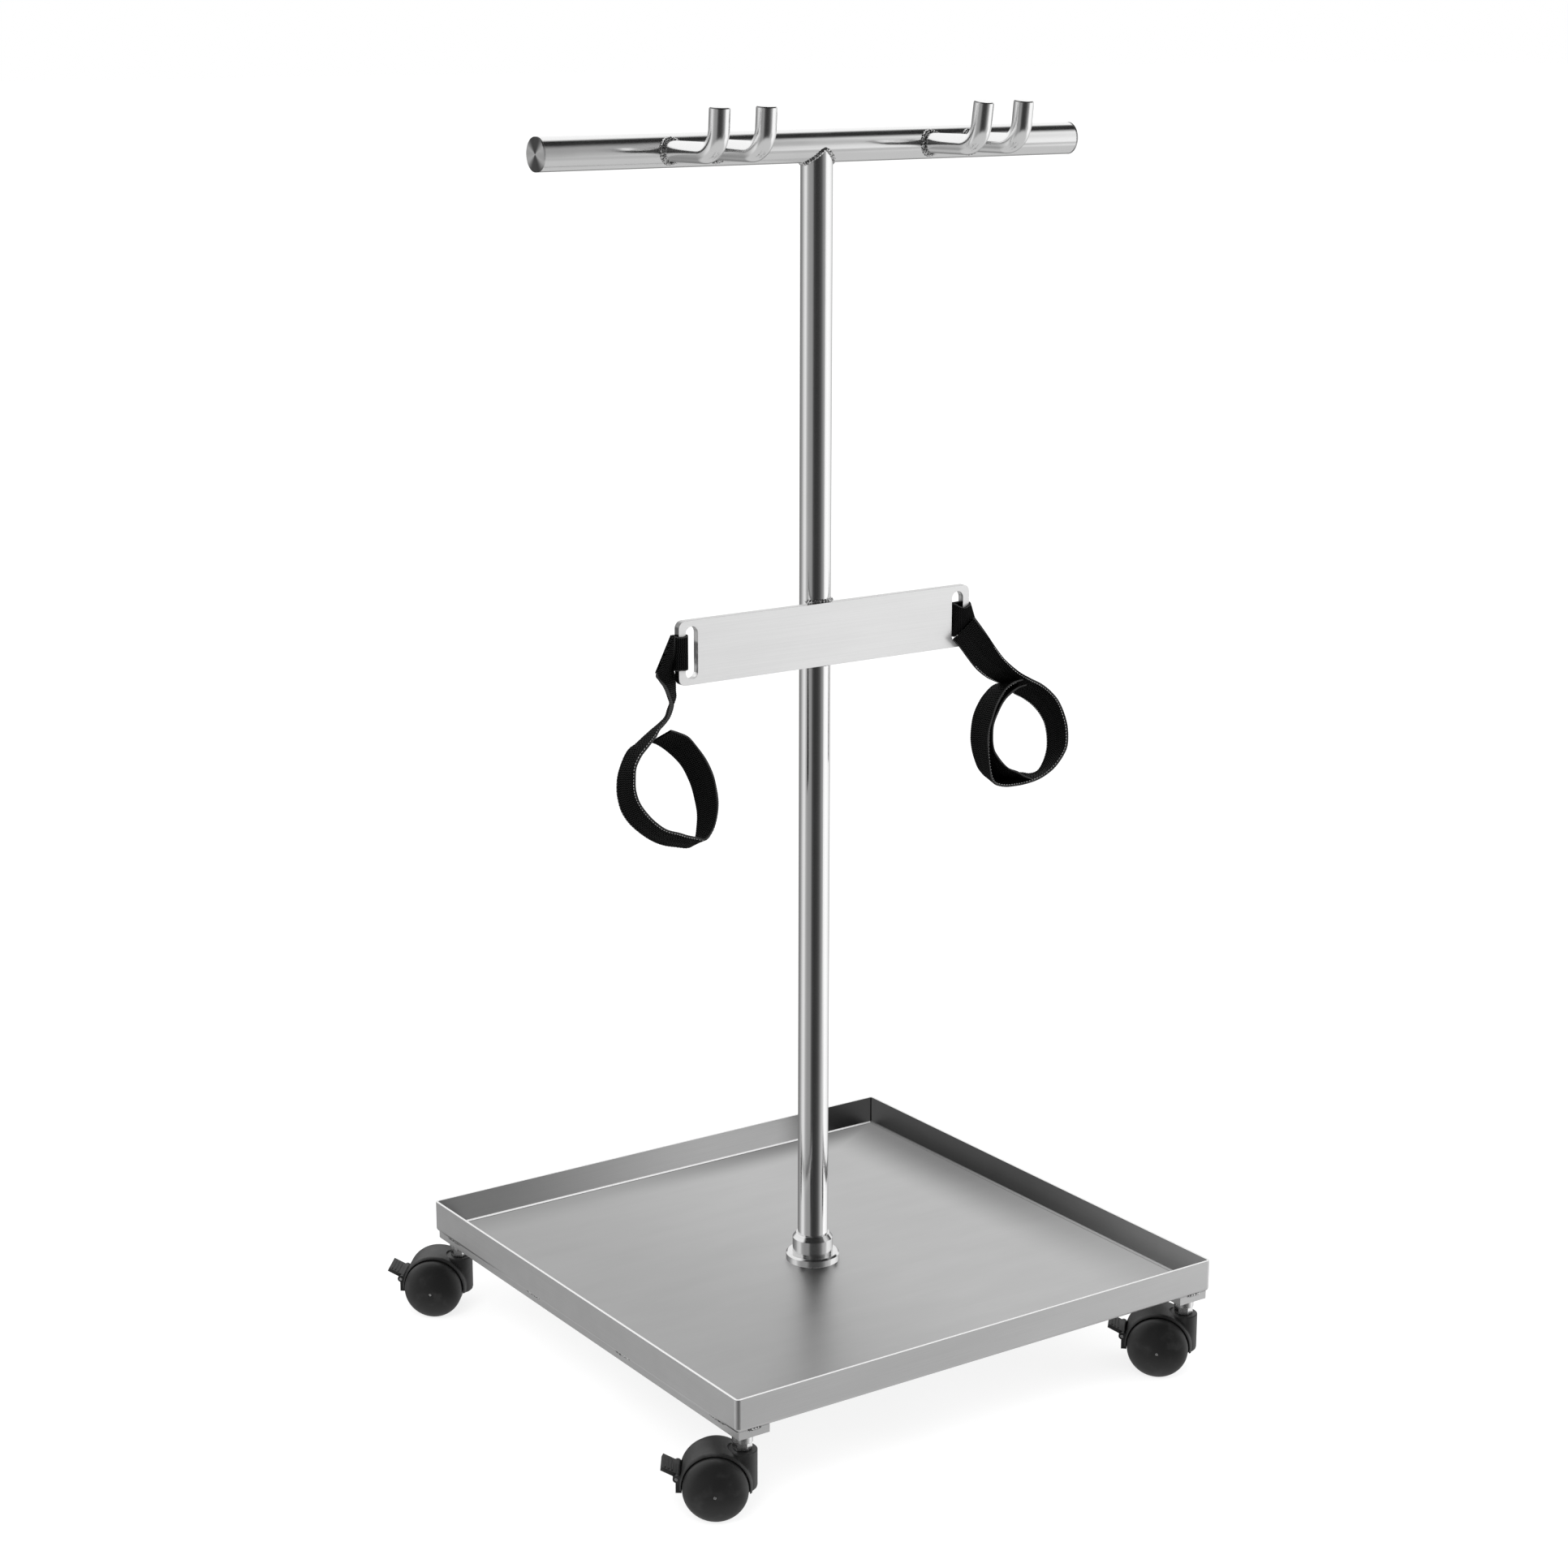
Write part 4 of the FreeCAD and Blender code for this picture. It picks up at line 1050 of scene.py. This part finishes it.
# second layer inside the right loop
RIGHT_INNER_LINE = (
    (205.5, -29.0, 467.0, 209.0, -2.5, 463.5),
    (197.0, -29.0, 471.0, 199.0, -3.0, 463.5),
    (190.0, -28.5, 475.5, 190.5, -3.5, 464.0),
    (181.0, -27.5, 479.5, 183.0, -4.5, 466.5),
    (174.0, -27.0, 486.0, 178.0, -5.0, 470.5),
    (167.5, -27.0, 494.0, 173.0, -5.0, 478.5),
    (164.5, -27.5, 499.5, 169.5, -4.5, 486.5),
    (162.5, -28.5, 508.0, 165.5, -3.5, 499.0),
    (162.5, -29.5, 520.5, 164.5, -2.5, 517.5),
    (168.0, -29.5, 532.0, 169.0, -2.5, 531.0),
    (174.0, -29.5, 540.0, 176.5, -2.5, 538.0),
    (180.5, -29.5, 544.5, 184.5, -2.5, 541.5),
    (189.0, -29.0, 548.5, 193.0, -3.0, 543.5),
    (197.5, -28.5, 549.5, 200.5, -3.5, 541.0),
)


# The turn of each strap round the plate's end web: left, right, front and back of its
# lower and upper edge, in mm.
LEFT_SLEEVE = ((-145.6, -133.4, -20.6, -10.8), (-145.6, -133.4, -20.6, -10.8))
LEFT_SLEEVE_LEVELS = (600.8, 628.3)
LEFT_SLEEVE_SAG = 0.8
RIGHT_SLEEVE = ((124.2, 154.0, -22.2, -9.6), (128.2, 144.4, -21.6, -10.6))
RIGHT_SLEEVE_LEVELS = (597.5, 624.5)
RIGHT_SLEEVE_SAG = 3.4

# The layer behind the left strap's fold, in mm: it leaves the sleeve at FOLD_START, runs
# FOLD_REACH to the left at an angle to the plate and is cut off by the slanting crease.
FOLD_START = (-143.6, -10.6)
FOLD_REACH = 20.0
FOLD_ANGLE = math.radians(20.0)
FOLD_LEVELS = (601.0, 628.0)
FOLD_DROP = 26.46
FOLD_THICKNESS = 1.5

# The gathered neck of the left strap, and the seam that closes the right sleeve.
LEFT_NECK = (0.165, 0.05, 2.3)
SEAM_START = Vector((124.0, -23.4, 597.8)) * MM
SEAM_END = Vector((149.0, -23.4, 607.6)) * MM
SEAM_GAP = 2.2 * MM
SEAM_STITCHES = 11


def sleeve(name, finish, body, box, levels, sag):
    """Turn of webbing round the plate's end web.

    The upper edge of its front sags by the given amount in the middle."""
    around, rows = 96, 24
    flat = 1.7
    bottom_z, top_z = levels
    points, weave = [], []
    for layer in (0, 1):
        for row in range(rows + 1):
            share = row / rows
            left, right, front, back = [a + (b - a) * share for a, b in zip(*box)]
            half_x, half_y = (right - left) / 2.0 * MM, (back - front) / 2.0 * MM
            centre = Vector((left + right, front + back, 0.0)) / 2.0 * MM
            corner = min(half_x, half_y) * 0.75
            core_x, core_y = half_x - corner, half_y - corner
            bend = corner - STRAP_THICKNESS * layer
            across = (share - 0.5) * STRAP_WIDTH
            travelled = 0.0
            previous = None
            for index in range(around):
                angle = 2.0 * math.pi * index / around
                c, s = math.cos(angle), math.sin(angle)
                x = core_x * max(-1.0, min(1.0, c * flat)) + bend * c
                y = core_y * max(-1.0, min(1.0, s * flat)) + bend * s
                dip = sag * max(0.0, -s) * (1.0 - abs(c) ** 1.5) * share
                z = (bottom_z + (top_z - bottom_z) * share - dip) * MM
                z += noise.noise(Vector((c * 2.0, s * 2.0, share))) * 0.3 * MM
                spot = centre + Vector((x, y, z))
                if previous is not None:
                    travelled += (spot - previous).length
                previous = spot
                points.append(spot)
                weave.append((travelled, across))
    size = (rows + 1) * around
    outer = ring_faces(rows + 1, around)
    faces = outer + [tuple(size + index for index in face) for face in outer]
    for base in (0, rows * around):
        for index in range(around):
            here, after = base + index, base + (index + 1) % around
            faces.append((here, after, size + after, size + here))
    return woven_object(name, (points, faces), weave, finish, body)


def left_fold(finish):
    """Layer of webbing behind the fold of the left strap."""
    along = Vector((-math.cos(FOLD_ANGLE), -math.sin(FOLD_ANGLE), 0.0))
    through = Vector((-math.sin(FOLD_ANGLE), math.cos(FOLD_ANGLE), 0.0)) * FOLD_THICKNESS
    start = Vector((*FOLD_START, 0.0))
    low, high = FOLD_LEVELS
    mid = (low + high) / 2.0
    rows = 9
    points, weave = [], []
    for index in range(rows):
        share = index / (rows - 1)
        foot = start + along * (FOLD_REACH * share)
        top = high - FOLD_DROP * share
        for offset, z in ((0, low), (1, low), (1, top), (0, top)):
            points.append((foot + through * offset + Vector((0.0, 0.0, z))) * MM)
            weave.append((share * FOLD_REACH * MM, (z - mid) * MM))
    faces = ring_faces(rows, 4) + end_faces(rows, 4)
    woven_object("strap_left_fold", (points, faces), weave, finish, "left_strap")


def seam_stitches():
    """Double seam where the hanging part of the right strap is sewn to its sleeve."""
    shells = []
    for row in range(2):
        start = SEAM_START - Vector((0.0, 0.0, SEAM_GAP * row))
        end = SEAM_END - Vector((0.0, 0.0, SEAM_GAP * row))
        for index in range(SEAM_STITCHES):
            one = start.lerp(end, index / SEAM_STITCHES)
            two = start.lerp(end, (index + 0.7) / SEAM_STITCHES)
            shells.append(stitch(one, two, Vector((0, -1, 0)), 0.25 * MM))
    return shells


def make_left_strap(finish, thread):
    body = "left_strap"
    line = Ribbon(LEFT_LINE)
    hanging = line.build("strap_left_loop", finish, body, LEFT_NECK)
    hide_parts("strap_left")
    sleeve(
        "strap_left_sleeve", finish, body, LEFT_SLEEVE, LEFT_SLEEVE_LEVELS, LEFT_SLEEVE_SAG
    )
    left_fold(finish)
    shells = edge_stitches(line, 0.10, 0.98)
    mesh_object("strap_left_stitches", merged(shells), thread, body, "webbing")


def make_right_strap(finish, thread):
    body = "right_strap"
    line = Ribbon(RIGHT_LINE)
    hanging = line.build("strap_right_loop", finish, body)
    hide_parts("strap_right")
    Ribbon(RIGHT_INNER_LINE).build("strap_right_inner_layer", finish, body)
    sleeve(
        "strap_right_sleeve",
        finish,
        body,
        RIGHT_SLEEVE,
        RIGHT_SLEEVE_LEVELS,
        RIGHT_SLEEVE_SAG,
    )
    shells = edge_stitches(line, 0.10, 0.99) + seam_stitches()
    mesh_object("strap_right_stitches", merged(shells), thread, body, "webbing")


def make_straps():
    finish = webbing("webbing")
    thread = sewing_thread("thread")
    make_left_strap(finish, thread)
    make_right_strap(finish, thread)


# ---- the whole stand --------------------------------------------------------

paint_nodes()
make_welds()
make_straps()
make_studio()
make_camera()
